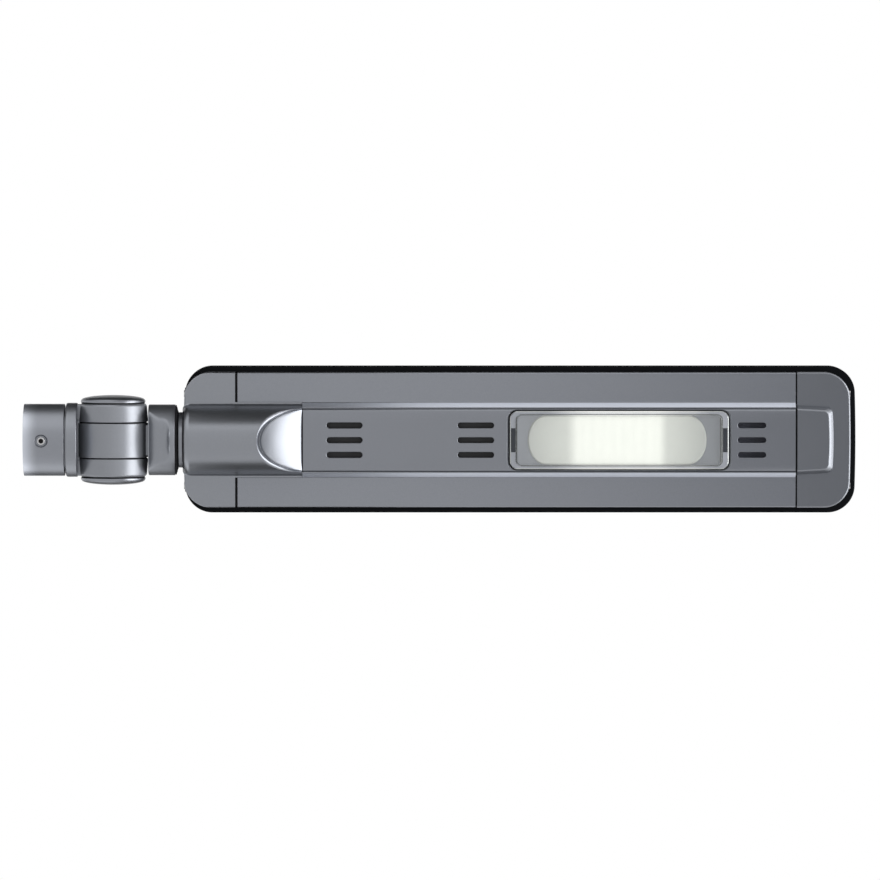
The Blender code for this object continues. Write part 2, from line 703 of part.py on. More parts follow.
def ramp_depth(x):
    """How far below the arm's axis the sloped end of the boss lies."""
    return BOSS_DEPTH - RAMP_SLOPE * (x - RAMP_START)


def flank_end(inset):
    """Where the crown of the boss goes over into its flank, as half width and depth."""
    radius = BOSS_CROWN - inset
    middle = BOSS_DEPTH - BOSS_CROWN
    return radius * sin(BOSS_FLANK), middle + radius * cos(BOSS_FLANK)


def boss_half_section():
    """The outside of the boss from its crown to its foot, as half width and depth."""
    y, depth = flank_end(0.0)
    foot_y = y + (depth - foot_depth()) / tan(BOSS_FLANK)
    crown = arc((0.0, BOSS_DEPTH - BOSS_CROWN), BOSS_CROWN, BOSS_CROWN, pi / 2, pi / 2 - BOSS_FLANK,
                CROWN_STEPS // 2)
    middle = (foot_y + BOSS_FOOT_FILLET * sin(BOSS_FLANK), BOSS_FOOT_FILLET - BOSS_FOOT_Z)
    foot = arc(middle, BOSS_FOOT_FILLET, BOSS_FOOT_FILLET, -pi / 2 - BOSS_FLANK, -pi / 2, FOOT_STEPS)
    return crown + foot


def foot_depth():
    """How far below the axis the flank of the boss goes over into the fillet of its foot."""
    return BOSS_FOOT_FILLET * (1 - cos(BOSS_FLANK)) - BOSS_FOOT_Z


def boss_half_width():
    return boss_half_section()[-1][0]


def boss():
    """The boss, from its rounded rear end to the foot of its slope."""
    full_start = BOSS_START + BOSS_FILLET
    stations = []
    for i in range(FILLET_STEPS + 1):
        back = BOSS_FILLET * cos(i * pi / 2 / FILLET_STEPS)
        drawn_in = BOSS_FILLET - sqrt(BOSS_FILLET ** 2 - back ** 2)
        stations.append((full_start - back, 1 - drawn_in / BOSS_DEPTH))
    ease_start = RAMP_START - RAMP_EASE / RAMP_SLOPE
    stations.append((ease_start, 1.0))
    for i in range(1, RAMP_STATIONS + 1):
        share = (i / RAMP_STATIONS) ** RAMP_SPACING
        stations.append((ease_start + share * (BOSS_END - ease_start), 1.0))
    half = boss_half_section()
    rings = []
    for x, scale in stations:
        cut_half = [(y * scale, -eased_min(depth * scale, ramp_depth(x), RAMP_EASE)) for y, depth in half]
        cut_half.append((cut_half[-1][0], BOSS_TOP_Z))
        rings.append(at_x(x, cut_half + [(-y, z) for y, z in reversed(cut_half[1:])]))
    return loft(rings)


def boss_cavity():
    """The hollow of the boss, which follows its outside one wall thickness in and opens above."""
    y, depth = flank_end(BOSS_WALL)
    top = BOSS_TOP_Z + GAP
    crown_radius = BOSS_CROWN - BOSS_WALL
    half = arc((0.0, BOSS_DEPTH - BOSS_CROWN), crown_radius, crown_radius, pi / 2, pi / 2 - BOSS_FLANK,
               CROWN_STEPS // 3)
    half.append((y + (depth + top) / tan(BOSS_FLANK), -top))
    end = BOSS_END - BOSS_WALL
    slope_start = RAMP_START - BOSS_WALL
    step = (end - slope_start) / HOLLOW_STATIONS
    stations = [BOSS_FRONT_WALL_END] + [slope_start + step * i for i in range(HOLLOW_STATIONS + 1)]
    rings = []
    for x in stations:
        roof = ramp_depth(x) - BOSS_WALL
        cut_half = [(y, -eased_min(depth, roof, RAMP_EASE)) for y, depth in half]
        rings.append(at_x(x, cut_half + [(-y, z) for y, z in reversed(cut_half[1:])]))
    return loft(rings)


def end_screw_pads(face, inward):
    """Round pads behind an end wall, which take the end screws, in one shape."""
    start, end = sorted((face + inward * WALL / 2, face + inward * END_SCREW_PAD_LENGTH))
    pad = circle(END_SCREW_PAD, SMALL_STEPS)
    return prisms(at_x, [moved(pad, side * FLUTE_Y, END_SCREW_Z) for side in (-1, 1)], start, end)


def drill_end_screws(piece, face, inward):
    hole = END_SCREW_RADIUS + SCREW_HOLE_CLEARANCE
    seat = END_SCREW_HEAD + SCREW_HOLE_CLEARANCE
    turn = (0.0, 0.0, 0.0) if inward > 0 else ALONG_MINUS_X
    for side, sign in (("left", 1), ("right", -1)):
        cut(piece, f"{side}_screw_hole", turned([
            (-OVERSHOOT, 0.0), (-OVERSHOOT, seat), (END_SCREW_HEAD_HEIGHT + GAP, seat),
            (END_SCREW_HEAD_HEIGHT + GAP, hole), (END_SCREW_PAD_LENGTH + OVERSHOOT, hole),
            (END_SCREW_PAD_LENGTH + OVERSHOOT, 0.0)], SCREW_STEPS),
            at=(face, sign * FLUTE_Y, END_SCREW_Z), turn=turn)


def make_arm_socket():
    socket = add("arm_socket", end_tray(REAR_CAP_START, REAR_CAP_END, CAP_CORNER, 0.0),
                 "cast_silver", "roll_axis")
    cut(socket, "hollow", end_cavity(REAR_CAP_START + WALL, REAR_CAP_END + OVERSHOOT,
                                     CAP_CORNER - WALL, 0.0))
    join(socket, "boss", boss())
    bevel = EDGE_BEVEL / 2
    bearing_end = BOSS_FRONT_WALL_END + GAP
    join(socket, "bearing", turned([
        (NOSE_START, 0.0), (NOSE_START, NOSE_RADIUS - bevel), (NOSE_START + bevel, NOSE_RADIUS),
        (bearing_end, NOSE_RADIUS), (bearing_end, 0.0)]))
    join(socket, "screw_pads", end_screw_pads(REAR_CAP_START, 1))
    cut(socket, "boss_hollow", boss_cavity())
    cut(socket, "pivot_bore", rod(NOSE_START - OVERSHOOT, BOSS_FRONT_WALL_END + OVERSHOOT,
                                  PIVOT_RADIUS + GAP))
    cut(socket, "panel_relief", boxes(((NOSE_END, -NOSE_RADIUS - OVERSHOOT, NOSE_TRIM_Z),
                                       (REAR_CAP_END, NOSE_RADIUS + OVERSHOOT, FRAME_TOP_Z))))
    drill_end_screws(socket, REAR_CAP_START, 1)


def profile_section():
    """The body profile: side walls, wings, screw flutes, rails and the floor of the rib."""
    inner = PROFILE_HALF_WIDTH - WALL
    flange_inner = PROFILE_HALF_WIDTH - FLANGE_WIDTH
    flute_out = FLUTE_Y + FLUTE_HALF_GAP
    flute_in = FLUTE_Y - FLUTE_HALF_GAP
    flange_low = WALL_TOP_Z - FLANGE_THICKNESS
    return mirrored([
        (STRIP_SEAT_HALF_WIDTH, STRIP_SEAT_Z), (STRIP_SEAT_HALF_WIDTH, RAIL_Z), (RAIL_TIP, RAIL_Z),
        (RAIL_BASE, WING_Z), (PROFILE_HALF_WIDTH - EDGE_BEVEL, WING_Z),
        (PROFILE_HALF_WIDTH, WING_Z + EDGE_BEVEL), (PROFILE_HALF_WIDTH, WALL_TOP_Z),
        (flange_inner, WALL_TOP_Z), (flange_inner, flange_low), (inner, flange_low), (inner, FLOOR_Z),
        (flute_out + FLUTE_FIN, FLOOR_Z), (flute_out + FLUTE_FIN, FLUTE_HEIGHT),
        (flute_out, FLUTE_HEIGHT), (flute_out, FLOOR_Z), (flute_in, FLOOR_Z), (flute_in, FLUTE_HEIGHT),
        (flute_in - FLUTE_FIN, FLUTE_HEIGHT), (flute_in - FLUTE_FIN, FLOOR_Z),
        (RIB_FLOOR_HALF_WIDTH, FLOOR_Z), (RIB_INNER_HALF_WIDTH, RIB_FLOOR_Z)])


def notch_half_width():
    """Half the width of the notch in the body profile that takes the boss."""
    return boss_half_width() + NOTCH_CLEARANCE


def frame_screw_places():
    return [(x, sign * FRAME_SCREW_Y) for x in FRAME_SCREW_XS for sign in (1, -1)]


def frame_screw_drill(low, high):
    """The six holes of the panel frame's screws, in one shape."""
    hole = circle(FRAME_SCREW_RADIUS + SCREW_HOLE_CLEARANCE, SCREW_STEPS)
    return prisms(at_z, [moved(hole, x, y) for x, y in frame_screw_places()], low, high)


def make_body_profile():
    profile = add("body_profile", prisms(at_x, [profile_section()], PROFILE_START, PROFILE_END),
                  "silver_paint", "roll_axis")
    low = RAIL_Z - OVERSHOOT
    windows = [(start - SLOT_WINDOW_MARGIN, end + SLOT_WINDOW_MARGIN, SLOT_WINDOW_HALF_WIDTH)
               for start, end in SLOT_GROUPS]
    windows.append((LENS_START + LIGHT_WINDOW_MARGIN_X, LENS_END - LIGHT_WINDOW_MARGIN_X,
                    LIGHT_WINDOW_HALF_WIDTH))
    openings = [((start, -half, low), (end, half, FLOOR_Z)) for start, end, half in windows]
    openings.append(((PROFILE_START - OVERSHOOT, -notch_half_width(), low),
                     (BOSS_END + GAP, notch_half_width(), FLOOR_Z + OVERSHOOT)))
    cut(profile, "openings", boxes(*openings))
    cut(profile, "frame_screw_holes",
        frame_screw_drill(WALL_TOP_Z - FLANGE_THICKNESS - OVERSHOOT / 4, WALL_TOP_Z + OVERSHOOT / 4))


def make_front_cap():
    cap = add("front_cap", end_tray(FRONT_CAP_START, FRONT_CAP_END, 0.0, CAP_CORNER),
              "cast_silver", "roll_axis")

    def rib_ring(start, end, half_width, z):
        return at_z(z, plan(start, end, half_width, 0.0, FRONT_RIB_CORNER))

    rib_start = FRONT_CAP_START
    soft = FRONT_RIB_EDGE
    join(cap, "rib", loft([
        rib_ring(rib_start, FRONT_RIB_END, FRONT_RIB_BASE, WING_Z + GAP),
        rib_ring(rib_start, FRONT_RIB_END, FRONT_RIB_BASE, WING_Z),
        rib_ring(rib_start, FRONT_RIB_FACE_END, FRONT_RIB_FACE, FRONT_RIB_Z + soft),
        rib_ring(rib_start, FRONT_RIB_FACE_END - soft, FRONT_RIB_FACE - soft, FRONT_RIB_Z)]))
    open_start = FRONT_CAP_START - OVERSHOOT
    cut(cap, "hollow", end_cavity(open_start, FRONT_CAP_END - WALL, 0.0, CAP_CORNER - WALL))
    cut(cap, "rib_hollow", loft([
        rib_ring(open_start, FRONT_RIB_END - WALL, FRONT_RIB_BASE - WALL, FLOOR_Z + GAP),
        rib_ring(open_start, FRONT_RIB_FACE_END - WALL, FRONT_RIB_FACE - WALL, FRONT_RIB_Z + WALL)]))
    join(cap, "screw_pads", end_screw_pads(FRONT_CAP_END, -1))
    drill_end_screws(cap, FRONT_CAP_END, -1)


def make_gaskets():
    """Rubber in the two seams, set back from the outside."""
    thickness = WALL + GAP
    outer = PROFILE_HALF_WIDTH - GASKET_RECESS
    low = WING_Z + GASKET_RECESS
    high = low + thickness
    top = WALL_TOP_Z - GASKET_RECESS
    inner_end = notch_half_width() + GAP
    section = [(inner_end, low), (outer, low), (outer, top), (outer - thickness, top),
               (outer - thickness, high), (inner_end, high)]
    for side, sign in (("left", 1), ("right", -1)):
        add(f"rear_gasket_{side}", prisms(at_x, [[(sign * y, z) for y, z in section]],
                                          REAR_CAP_END + GAP, PROFILE_START - GAP),
            "black_rubber", "roll_axis")
    rib_tip = RAIL_TIP - GASKET_RECESS
    section = mirrored([
        (rib_tip, RAIL_Z + GASKET_RECESS), (RAIL_BASE - GASKET_RECESS / 2, low), (outer, low), (outer, top),
        (outer - thickness, top), (outer - thickness, high), (RAIL_BASE + GASKET_RECESS, high),
        (rib_tip, RIB_FLOOR_Z)])
    add("front_gasket", prisms(at_x, [section], PROFILE_END + GAP, FRONT_CAP_START - GAP),
        "black_rubber", "roll_axis")


# Cover strip and light

def make_cover_strip():
    half_width = STRIP_SEAT_HALF_WIDTH - GAP
    top = STRIP_SEAT_Z - GAP
    crown = []
    for i in range(STRIP_STEPS // 2 + 1):
        y = (half_width - STRIP_EDGE) * 2 * i / STRIP_STEPS
        crown.append((y, STRIP_EDGE_Z - STRIP_CROWN * (1 - (y / half_width) ** 2)))
    side = [(half_width, STRIP_EDGE_Z + STRIP_EDGE), (half_width, top)]
    section = crown + side + [(-y, z) for y, z in reversed(crown[1:] + side)]
    strip = add("cover_strip", prisms(at_x, [section], STRIP_START, STRIP_END), "silver_paint", "roll_axis")
    low = STRIP_EDGE_Z - OVERSHOOT
    high = top + OVERSHOOT
    slots = [moved(oval(start, end, SLOT_HALF_WIDTH, SLOT_HALF_WIDTH, SLOT_STEPS), 0.0, row * SLOT_PITCH)
             for start, end in SLOT_GROUPS for row in (-1, 0, 1)]
    cut(strip, "vent_slots", prisms(at_z, slots, low, high))
    window = plan(LENS_START, LENS_END, LENS_HALF_WIDTH, LENS_CORNER, LENS_CORNER)
    cut(strip, "lens_window", prisms(at_z, [window], low, high))


def lens_ring(margin_x, margin_y, z):
    corner = max(LENS_CORNER - min(margin_x, margin_y), LENS_LEAST_CORNER)
    half_width = LENS_HALF_WIDTH - margin_y
    return at_z(z, plan(LENS_START + margin_x, LENS_END - margin_x, half_width, corner, corner))


def clip_span(end, sign):
    """Where a lens clip's notch starts and ends along X."""
    middle = end + sign * CLIP_OFFSET
    return middle - CLIP_WIDTH / 2, middle + CLIP_WIDTH / 2


def make_lens():
    pocket_x = LENS_PLATEAU_MARGIN_X + LENS_SKIN
    pocket_y = LENS_PLATEAU_MARGIN_Y + LENS_SKIN
    soft = LENS_EDGE
    cover = add("lens_cover", loft([
        lens_ring(pocket_x, pocket_y, LENS_FACE_Z + LENS_SKIN),
        lens_ring(pocket_x, pocket_y, LENS_FLANGE_TOP_Z),
        lens_ring(GAP, GAP, LENS_FLANGE_TOP_Z),
        lens_ring(GAP, GAP, LENS_FLANGE_Z + soft),
        lens_ring(GAP + soft, GAP + soft, LENS_FLANGE_Z),
        lens_ring(LENS_PLATEAU_MARGIN_X - LENS_STEP, LENS_PLATEAU_MARGIN_Y - LENS_STEP, LENS_FLANGE_Z),
        lens_ring(LENS_PLATEAU_MARGIN_X, LENS_PLATEAU_MARGIN_Y, LENS_FACE_Z + soft),
        lens_ring(LENS_PLATEAU_MARGIN_X + soft, LENS_PLATEAU_MARGIN_Y + soft, LENS_FACE_Z)]),
        "clear_plastic", "roll_axis")
    half = CLIP_LENGTH / 2
    over = OVERSHOOT / 4
    notches = [((low, -half, LENS_FLANGE_Z - over), (high, half, LENS_FLANGE_TOP_Z + over))
               for low, high in (clip_span(LENS_START, 1), clip_span(LENS_END, -1))]
    cut(cover, "clip_notches", boxes(*notches))
    seat = STRIP_SEAT_Z - GAP
    inner_x = LIGHT_WINDOW_MARGIN_X - GAP
    inner_y = LENS_HALF_WIDTH - LIGHT_WINDOW_HALF_WIDTH - GAP
    add("lens_gasket", loft([
        lens_ring(GAP, GAP, seat), lens_ring(GAP, GAP, LENS_FLANGE_TOP_Z + GAP),
        lens_ring(inner_x, inner_y, LENS_FLANGE_TOP_Z + GAP), lens_ring(inner_x, inner_y, seat)],
        closed=True), "black_rubber", "roll_axis")
    for side, end, sign in (("rear", LENS_START, 1), ("front", LENS_END, -1)):
        low, high = clip_span(end, sign)
        step = (high - low) / 4
        section = [(low + GAP, LENS_FLANGE_TOP_Z), (high - GAP, LENS_FLANGE_TOP_Z),
                   (high - GAP, LENS_FLANGE_Z + step), (high - step, LENS_FLANGE_Z + GAP),
                   (low + step, LENS_FLANGE_Z + GAP), (low + GAP, LENS_FLANGE_Z + step)]
        rings = [[Vector((x, y, z)) for x, z in section] for y in (GAP - half, half - GAP)]
        add(f"lens_clip_{side}", loft(rings), "black_plastic", "roll_axis")


def diffuser_ring(inset, z):
    return at_z(z, oval(DIFFUSER_START + inset, DIFFUSER_END - inset, DIFFUSER_HALF_WIDTH - inset,
                        DIFFUSER_END_LENGTH - inset, 2 * CORNER_STEPS))


def make_light():
    tray_low = RIB_FLOOR_Z + GAP
    tray_high = tray_low + TRAY_THICKNESS
    outline = plan(LENS_START + TRAY_MARGIN_X, LENS_END - TRAY_MARGIN_X, TRAY_HALF_WIDTH,
                   TRAY_CORNER, TRAY_CORNER)
    tray = add("lamp_tray", prisms(at_z, [outline], tray_low, tray_high), "silver_paint", "roll_axis")
    cut(tray, "diffuser_hole", loft([diffuser_ring(-GAP, tray_low - OVERSHOOT),
                                     diffuser_ring(-GAP, tray_high + OVERSHOOT)]))
    brim_low = tray_high + GAP
    brim_high = brim_low + DIFFUSER_SKIN
    add("light_diffuser", loft([
        diffuser_ring(3 * DIFFUSER_SKIN, DIFFUSER_FACE_Z + DIFFUSER_SKIN),
        diffuser_ring(DIFFUSER_SKIN, DIFFUSER_FACE_Z + 2 * DIFFUSER_SKIN),
        diffuser_ring(DIFFUSER_SKIN, brim_high), diffuser_ring(-DIFFUSER_BRIM, brim_high),
        diffuser_ring(-DIFFUSER_BRIM, brim_low), diffuser_ring(0.0, brim_low),
        diffuser_ring(0.0, DIFFUSER_FACE_Z + DIFFUSER_SKIN),
        diffuser_ring(DIFFUSER_EDGE, DIFFUSER_FACE_Z + DIFFUSER_EDGE),
        diffuser_ring(DIFFUSER_SKIN, DIFFUSER_FACE_Z)]), "opal_plastic", "roll_axis")
    board_high = SPREADER_TOP_Z - SPREADER_WALL - GAP
    board_low = board_high - BOARD_THICKNESS
    board = add("led_board", boxes(((BOARD_START, -BOARD_HALF_WIDTH, board_low),
                                    (BOARD_END, BOARD_HALF_WIDTH, board_high))), "white_board", "roll_axis")
    half = LED_SIZE / 2
    leds = []
    for column in range(LED_COLUMNS):
        x = LED_MIDDLE_X + (column - (LED_COLUMNS - 1) / 2) * LED_COLUMN_PITCH
        for row in range(LED_ROWS):
            y = (row - (LED_ROWS - 1) / 2) * LED_ROW_PITCH
            leds.append(((x - half, y - half, board_low - LED_HEIGHT),
                         (x + half, y + half, board_low + GAP)))
    join(board, "leds", boxes(*leds))
    leg_inner = SPREADER_HALF_WIDTH - SPREADER_WALL
    foot = RIB_FLOOR_Z + GAP
    section = mirrored([
        (leg_inner, SPREADER_TOP_Z - SPREADER_WALL), (leg_inner, foot), (SPREADER_HALF_WIDTH, foot),
        (SPREADER_HALF_WIDTH, SPREADER_TOP_Z)])
    add("heat_spreader", prisms(at_x, [section], SPREADER_START, SPREADER_END),
        "bare_aluminium", "roll_axis")


# Solar panel

def frame_ring(inset, z):
    return at_z(z, plan(FRAME_START + inset, FRAME_END - inset, FRAME_HALF_WIDTH - inset,
                        FRAME_CORNER - inset, FRAME_CORNER - inset))


def make_panel():
    foot_top = FRAME_BOTTOM_Z + FRAME_FOOT_THICKNESS
    ledge_low = FRAME_LEDGE_Z - FRAME_LEDGE_THICKNESS
    lip_low = FRAME_TOP_Z - FRAME_LIP_THICKNESS
    rounding = FRAME_ROUNDING
    frame = add("panel_frame", loft([
        frame_ring(rounding / 2, FRAME_BOTTOM_Z), frame_ring(0.0, FRAME_BOTTOM_Z + rounding / 2),
        frame_ring(0.0, FRAME_TOP_Z - rounding), frame_ring(rounding / 3, FRAME_TOP_Z - rounding / 3),
        frame_ring(rounding, FRAME_TOP_Z), frame_ring(FRAME_LIP_WIDTH, FRAME_TOP_Z),
        frame_ring(FRAME_LIP_WIDTH, lip_low), frame_ring(FRAME_WALL, lip_low),
        frame_ring(FRAME_WALL, FRAME_LEDGE_Z), frame_ring(FRAME_LEDGE_WIDTH, FRAME_LEDGE_Z),
        frame_ring(FRAME_LEDGE_WIDTH, ledge_low), frame_ring(FRAME_WALL, ledge_low),
        frame_ring(FRAME_WALL, foot_top), frame_ring(FRAME_FOOT_WIDTH, foot_top),
        frame_ring(FRAME_FOOT_WIDTH, FRAME_BOTTOM_Z)], closed=True), "black_plastic", "roll_axis")
    cut(frame, "screw_holes", frame_screw_drill(FRAME_BOTTOM_Z - OVERSHOOT / 4, foot_top + OVERSHOOT / 4))
    pane = FRAME_WALL + GAP
    glass_low = lip_low - GAP - GLASS_THICKNESS
    add("panel_glass", loft([frame_ring(pane, glass_low), frame_ring(pane, lip_low - GAP)]),
        "solar_glass", "roll_axis")
    sheet_low = FRAME_LEDGE_Z + GAP
    sheet_high = sheet_low + SHEET_THICKNESS
    sheet = add("cell_sheet", loft([frame_ring(pane, sheet_low), frame_ring(pane, sheet_high)]),
                "solar_cells", "roll_axis")
    middle = (FRAME_START + FRAME_END) / 2
    half = (CELL_PITCH - CELL_GAP) / 2
    cells = []
    for i in range(CELL_COUNT):
        x = middle + (i - (CELL_COUNT - 1) / 2) * CELL_PITCH
        cells.append(((x - half, -CELL_HALF_WIDTH, sheet_high - GAP),
                      (x + half, CELL_HALF_WIDTH, sheet_high + CELL_THICKNESS)))
    join(sheet, "cells", boxes(*cells))
    box_top = sheet_low - GAP
    box_low = box_top - JUNCTION_HEIGHT
    rings = []
    for z, inset in ((box_low, JUNCTION_DRAFT), (box_top, 0.0)):
        rings.append(at_z(z, plan(JUNCTION_START + inset, JUNCTION_END - inset, JUNCTION_HALF_WIDTH - inset,
                                  JUNCTION_CORNER, JUNCTION_CORNER)))
    add("junction_box", loft(rings), "black_plastic", "roll_axis")


# Battery, controller and leads

def make_battery():
    low = FLOOR_Z + GAP
    radius = CELL_DIAMETER / 2
    reach = (BATTERY_CELLS_ACROSS - 1) * radius
    middle_z = low + radius
    wrap = mirrored(arc((reach, middle_z), radius, radius, -pi / 2, pi / 2, BATTERY_STEPS))
    narrow = 1 - BATTERY_EDGE / (reach + radius)
    lower = 1 - BATTERY_EDGE / radius
    end_face = [(y * narrow, middle_z + (z - middle_z) * lower) for y, z in wrap]
    end = BATTERY_START + BATTERY_LENGTH
    add("battery_pack", loft([
        at_x(BATTERY_START, end_face), at_x(BATTERY_START + BATTERY_EDGE, wrap),
        at_x(end - BATTERY_EDGE, wrap), at_x(end, end_face)]), "battery_wrap", "roll_axis")
    inner = radius + GAP
    outer = inner + STRAP_THICKNESS
    strap = mirrored([
        *arc((reach, middle_z), inner, inner, pi / 2, 0.0, BATTERY_STEPS // 2),
        (reach + inner, low), (reach + outer, low),
        *arc((reach, middle_z), outer, outer, 0.0, pi / 2, BATTERY_STEPS // 2)])
    for number, share in enumerate(STRAP_PLACES, 1):
        middle = BATTERY_START + share * BATTERY_LENGTH
        add(f"battery_strap_{number}",
            prisms(at_x, [strap], middle - STRAP_WIDTH / 2, middle + STRAP_WIDTH / 2),
            "zinc_steel", "roll_axis")


def make_controller():
    low = CONTROLLER_Z
    high = low + BOARD_THICKNESS
    board = add("controller_board", boxes(((CONTROLLER_START, -CONTROLLER_HALF_WIDTH, low),
                                           (CONTROLLER_END, CONTROLLER_HALF_WIDTH, high))),
                "green_board", "roll_axis")
    sink = high - GAP
    start = CONTROLLER_START
    near = start + TERMINAL_INSET
    blocks = [((near, y - TERMINAL_HALF_WIDTH, sink),
               (near + TERMINAL_LENGTH, y + TERMINAL_HALF_WIDTH, high + TERMINAL_HEIGHT))
              for y in (BATTERY_TERMINAL_Y, LED_TERMINAL_Y, PANEL_TERMINAL_Y)]
    blocks += [((start + low_x, low_y, sink), (start + high_x, high_y, high + height))
               for (low_x, low_y), (high_x, high_y), height in (CHIP, CAPACITOR, CHOKE)]
    join(board, "components", boxes(*blocks))
    post = CONTROLLER_POST
    foot = FLOOR_Z + GAP
    post_y = CONTROLLER_HALF_WIDTH - post - GAP
    posts = []
    for x in (CONTROLLER_START + 2 * post, CONTROLLER_END - 2 * post):
        for y in (-post_y, post_y):
            posts.append(((x - post, y - post, foot), (x + post, y + post, low + GAP)))
    join(board, "posts", boxes(*posts))


def smooth_route(points):
    """Points along a smooth curve through a lead's route."""
    path = [Vector(point) for point in points]
    ends = [2 * path[0] - path[1], *path, 2 * path[-1] - path[-2]]
    curve = []
    for a, b, c, d in zip(ends, ends[1:], ends[2:], ends[3:]):
        for i in range(LEAD_STEPS):
            t = i / LEAD_STEPS
            curve.append(0.5 * (2 * b + (c - a) * t + (2 * a - 5 * b + 4 * c - d) * t ** 2
                                + (3 * b - a - 3 * c + d) * t ** 3))
    return curve + [path[-1]]


def add_lead(name, points):
    curve = bpy.data.curves.new(name, 'CURVE')
    curve.dimensions = '3D'
    curve.bevel_depth = LEAD_RADIUS
    curve.bevel_resolution = 2
    curve.use_fill_caps = True
    route = smooth_route(points)
    spline = curve.splines.new('POLY')
    spline.points.add(len(route) - 1)
    for point, place in zip(spline.points, route):
        point.co = (*place, 1.0)
    curve.materials.append(MATERIALS["red_lead"])
    lead = bpy.data.objects.new(name, curve)
    bpy.context.collection.objects.link(lead)
    lead.parent = BODIES["roll_axis"]
    lead.location = -BODY_ORIGINS["roll_axis"]


def make_leads():
    """Leads held inside the head, each from its piece to a terminal of the controller."""
    x = CONTROLLER_START + TERMINAL_INSET - GAP
    z = CONTROLLER_Z + BOARD_THICKNESS + TERMINAL_HEIGHT / 2
    start = BATTERY_START + BATTERY_LENGTH + GAP
    y = BATTERY_TERMINAL_Y
    add_lead("battery_lead", [
        (start, y, 0.0120), (start + LEAD_STUB, y, 0.0120), (0.5000, -0.0345, 0.0085),
        (0.5200, -0.0367, 0.0032), (0.5900, -0.0367, 0.0028), (0.6700, -0.0367, 0.0030),
        (0.6920, -0.0330, 0.0090), (x - LEAD_STUB, y, z), (x, y, z)])
    start = JUNCTION_END + GAP
    y = PANEL_TERMINAL_Y
    add_lead("panel_lead", [
        (start, 0.0100, 0.0240), (start + LEAD_STUB, 0.0100, 0.0240), (0.6700, 0.0110, 0.0230),
        (0.6900, 0.0130, 0.0170), (x - LEAD_STUB, y, z), (x, y, z)])
    start = BOARD_END + GAP
    y = LED_TERMINAL_Y
    add_lead("led_lead", [
        (start, -0.0040, 0.0008), (start + LEAD_STUB, -0.0040, 0.0008), (0.6860, -0.0050, 0.0008),
        (0.6940, -0.0065, 0.0060), (x - LEAD_STUB, y, z), (x, y, z)])


# Screws

def make_screws():
    head = circle(END_SCREW_HEAD, SCREW_STEPS)
    shank = circle(END_SCREW_RADIUS, SCREW_STEPS)
    socket = hexagon(END_SCREW_SOCKET, SCREW_STEPS)
    height = END_SCREW_HEAD_HEIGHT
    ends = (("rear", REAR_CAP_START, (0.0, 0.0, 0.0)), ("front", FRONT_CAP_END, ALONG_MINUS_X))
    for end, face, turn in ends:
        for side, sign in (("left", 1), ("right", -1)):
            add(f"{end}_screw_{side}", loft([
                at_x(END_SCREW_SOCKET_DEPTH, socket), at_x(GAP, socket), at_x(GAP, head),
                at_x(height, head), at_x(height, shank), at_x(END_SCREW_LENGTH, shank)]),
                "zinc_steel", "roll_axis", at=(face, sign * FLUTE_Y, END_SCREW_Z), turn=turn)
    head = circle(FRAME_SCREW_HEAD, SCREW_STEPS)
    shank = circle(FRAME_SCREW_RADIUS, SCREW_STEPS)
    seat = WALL_TOP_Z - FLANGE_THICKNESS - GAP
    for number, (x, y) in enumerate(frame_screw_places(), 1):
        add(f"frame_screw_{number}", loft([
            at_x(seat - FRAME_SCREW_HEAD_HEIGHT, head), at_x(seat, head), at_x(seat, shank),
            at_x(FRAME_SCREW_TIP_Z, shank)]), "zinc_steel", "roll_axis", at=(x, y, 0.0), turn=ALONG_Z)


def main():
    clear_scene()
    make_materials()
    make_body("pole_bracket", (0.0, 0.0, 0.0))
    make_body("tilt_axis", (HINGE_X, 0.0, 0.0), "pole_bracket")
    make_body("roll_axis", (ROLL_X, 0.0, 0.0), "tilt_axis")
    make_sleeve()
    make_fork()
    make_hinge_hardware()
    make_neck()
    make_arm_socket()
    make_body_profile()
    make_front_cap()
    make_gaskets()
    make_cover_strip()
    make_lens()
    make_light()
    make_panel()
    make_battery()
    make_controller()
    make_leads()
    make_screws()


main()
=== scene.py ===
"""Solar street lamp on a tilting pole bracket: its visible pieces, finishes and stage."""
from math import atan2, cos, exp, pi, radians, sin, sqrt, tan

import bmesh
import bpy
from bpy.props import FloatProperty, FloatVectorProperty, IntProperty, PointerProperty
from mathutils import Matrix, Vector


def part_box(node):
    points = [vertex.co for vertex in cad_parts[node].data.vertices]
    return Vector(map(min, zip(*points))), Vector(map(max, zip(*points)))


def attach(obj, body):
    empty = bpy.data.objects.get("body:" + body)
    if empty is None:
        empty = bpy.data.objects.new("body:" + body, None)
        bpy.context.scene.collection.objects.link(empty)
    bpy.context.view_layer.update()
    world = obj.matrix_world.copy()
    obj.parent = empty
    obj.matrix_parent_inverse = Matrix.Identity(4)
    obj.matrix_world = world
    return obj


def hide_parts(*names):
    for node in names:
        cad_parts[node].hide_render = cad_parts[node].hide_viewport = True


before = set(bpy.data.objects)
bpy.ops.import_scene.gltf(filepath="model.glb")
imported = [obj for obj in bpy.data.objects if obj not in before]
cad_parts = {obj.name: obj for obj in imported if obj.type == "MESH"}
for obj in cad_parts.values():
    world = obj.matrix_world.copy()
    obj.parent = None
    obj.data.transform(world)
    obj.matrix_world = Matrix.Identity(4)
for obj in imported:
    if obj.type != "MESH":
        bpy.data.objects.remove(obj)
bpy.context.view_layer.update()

bl_info = {
    "name": "Solar Street Lamp",
    "version": (1, 0, 0),
    "blender": (4, 5, 0),
    "location": "3D View > Sidebar > Lamp",
    "description": "Builds the visible pieces of a solar street lamp round its packed solids",
    "category": "Add Mesh",
}

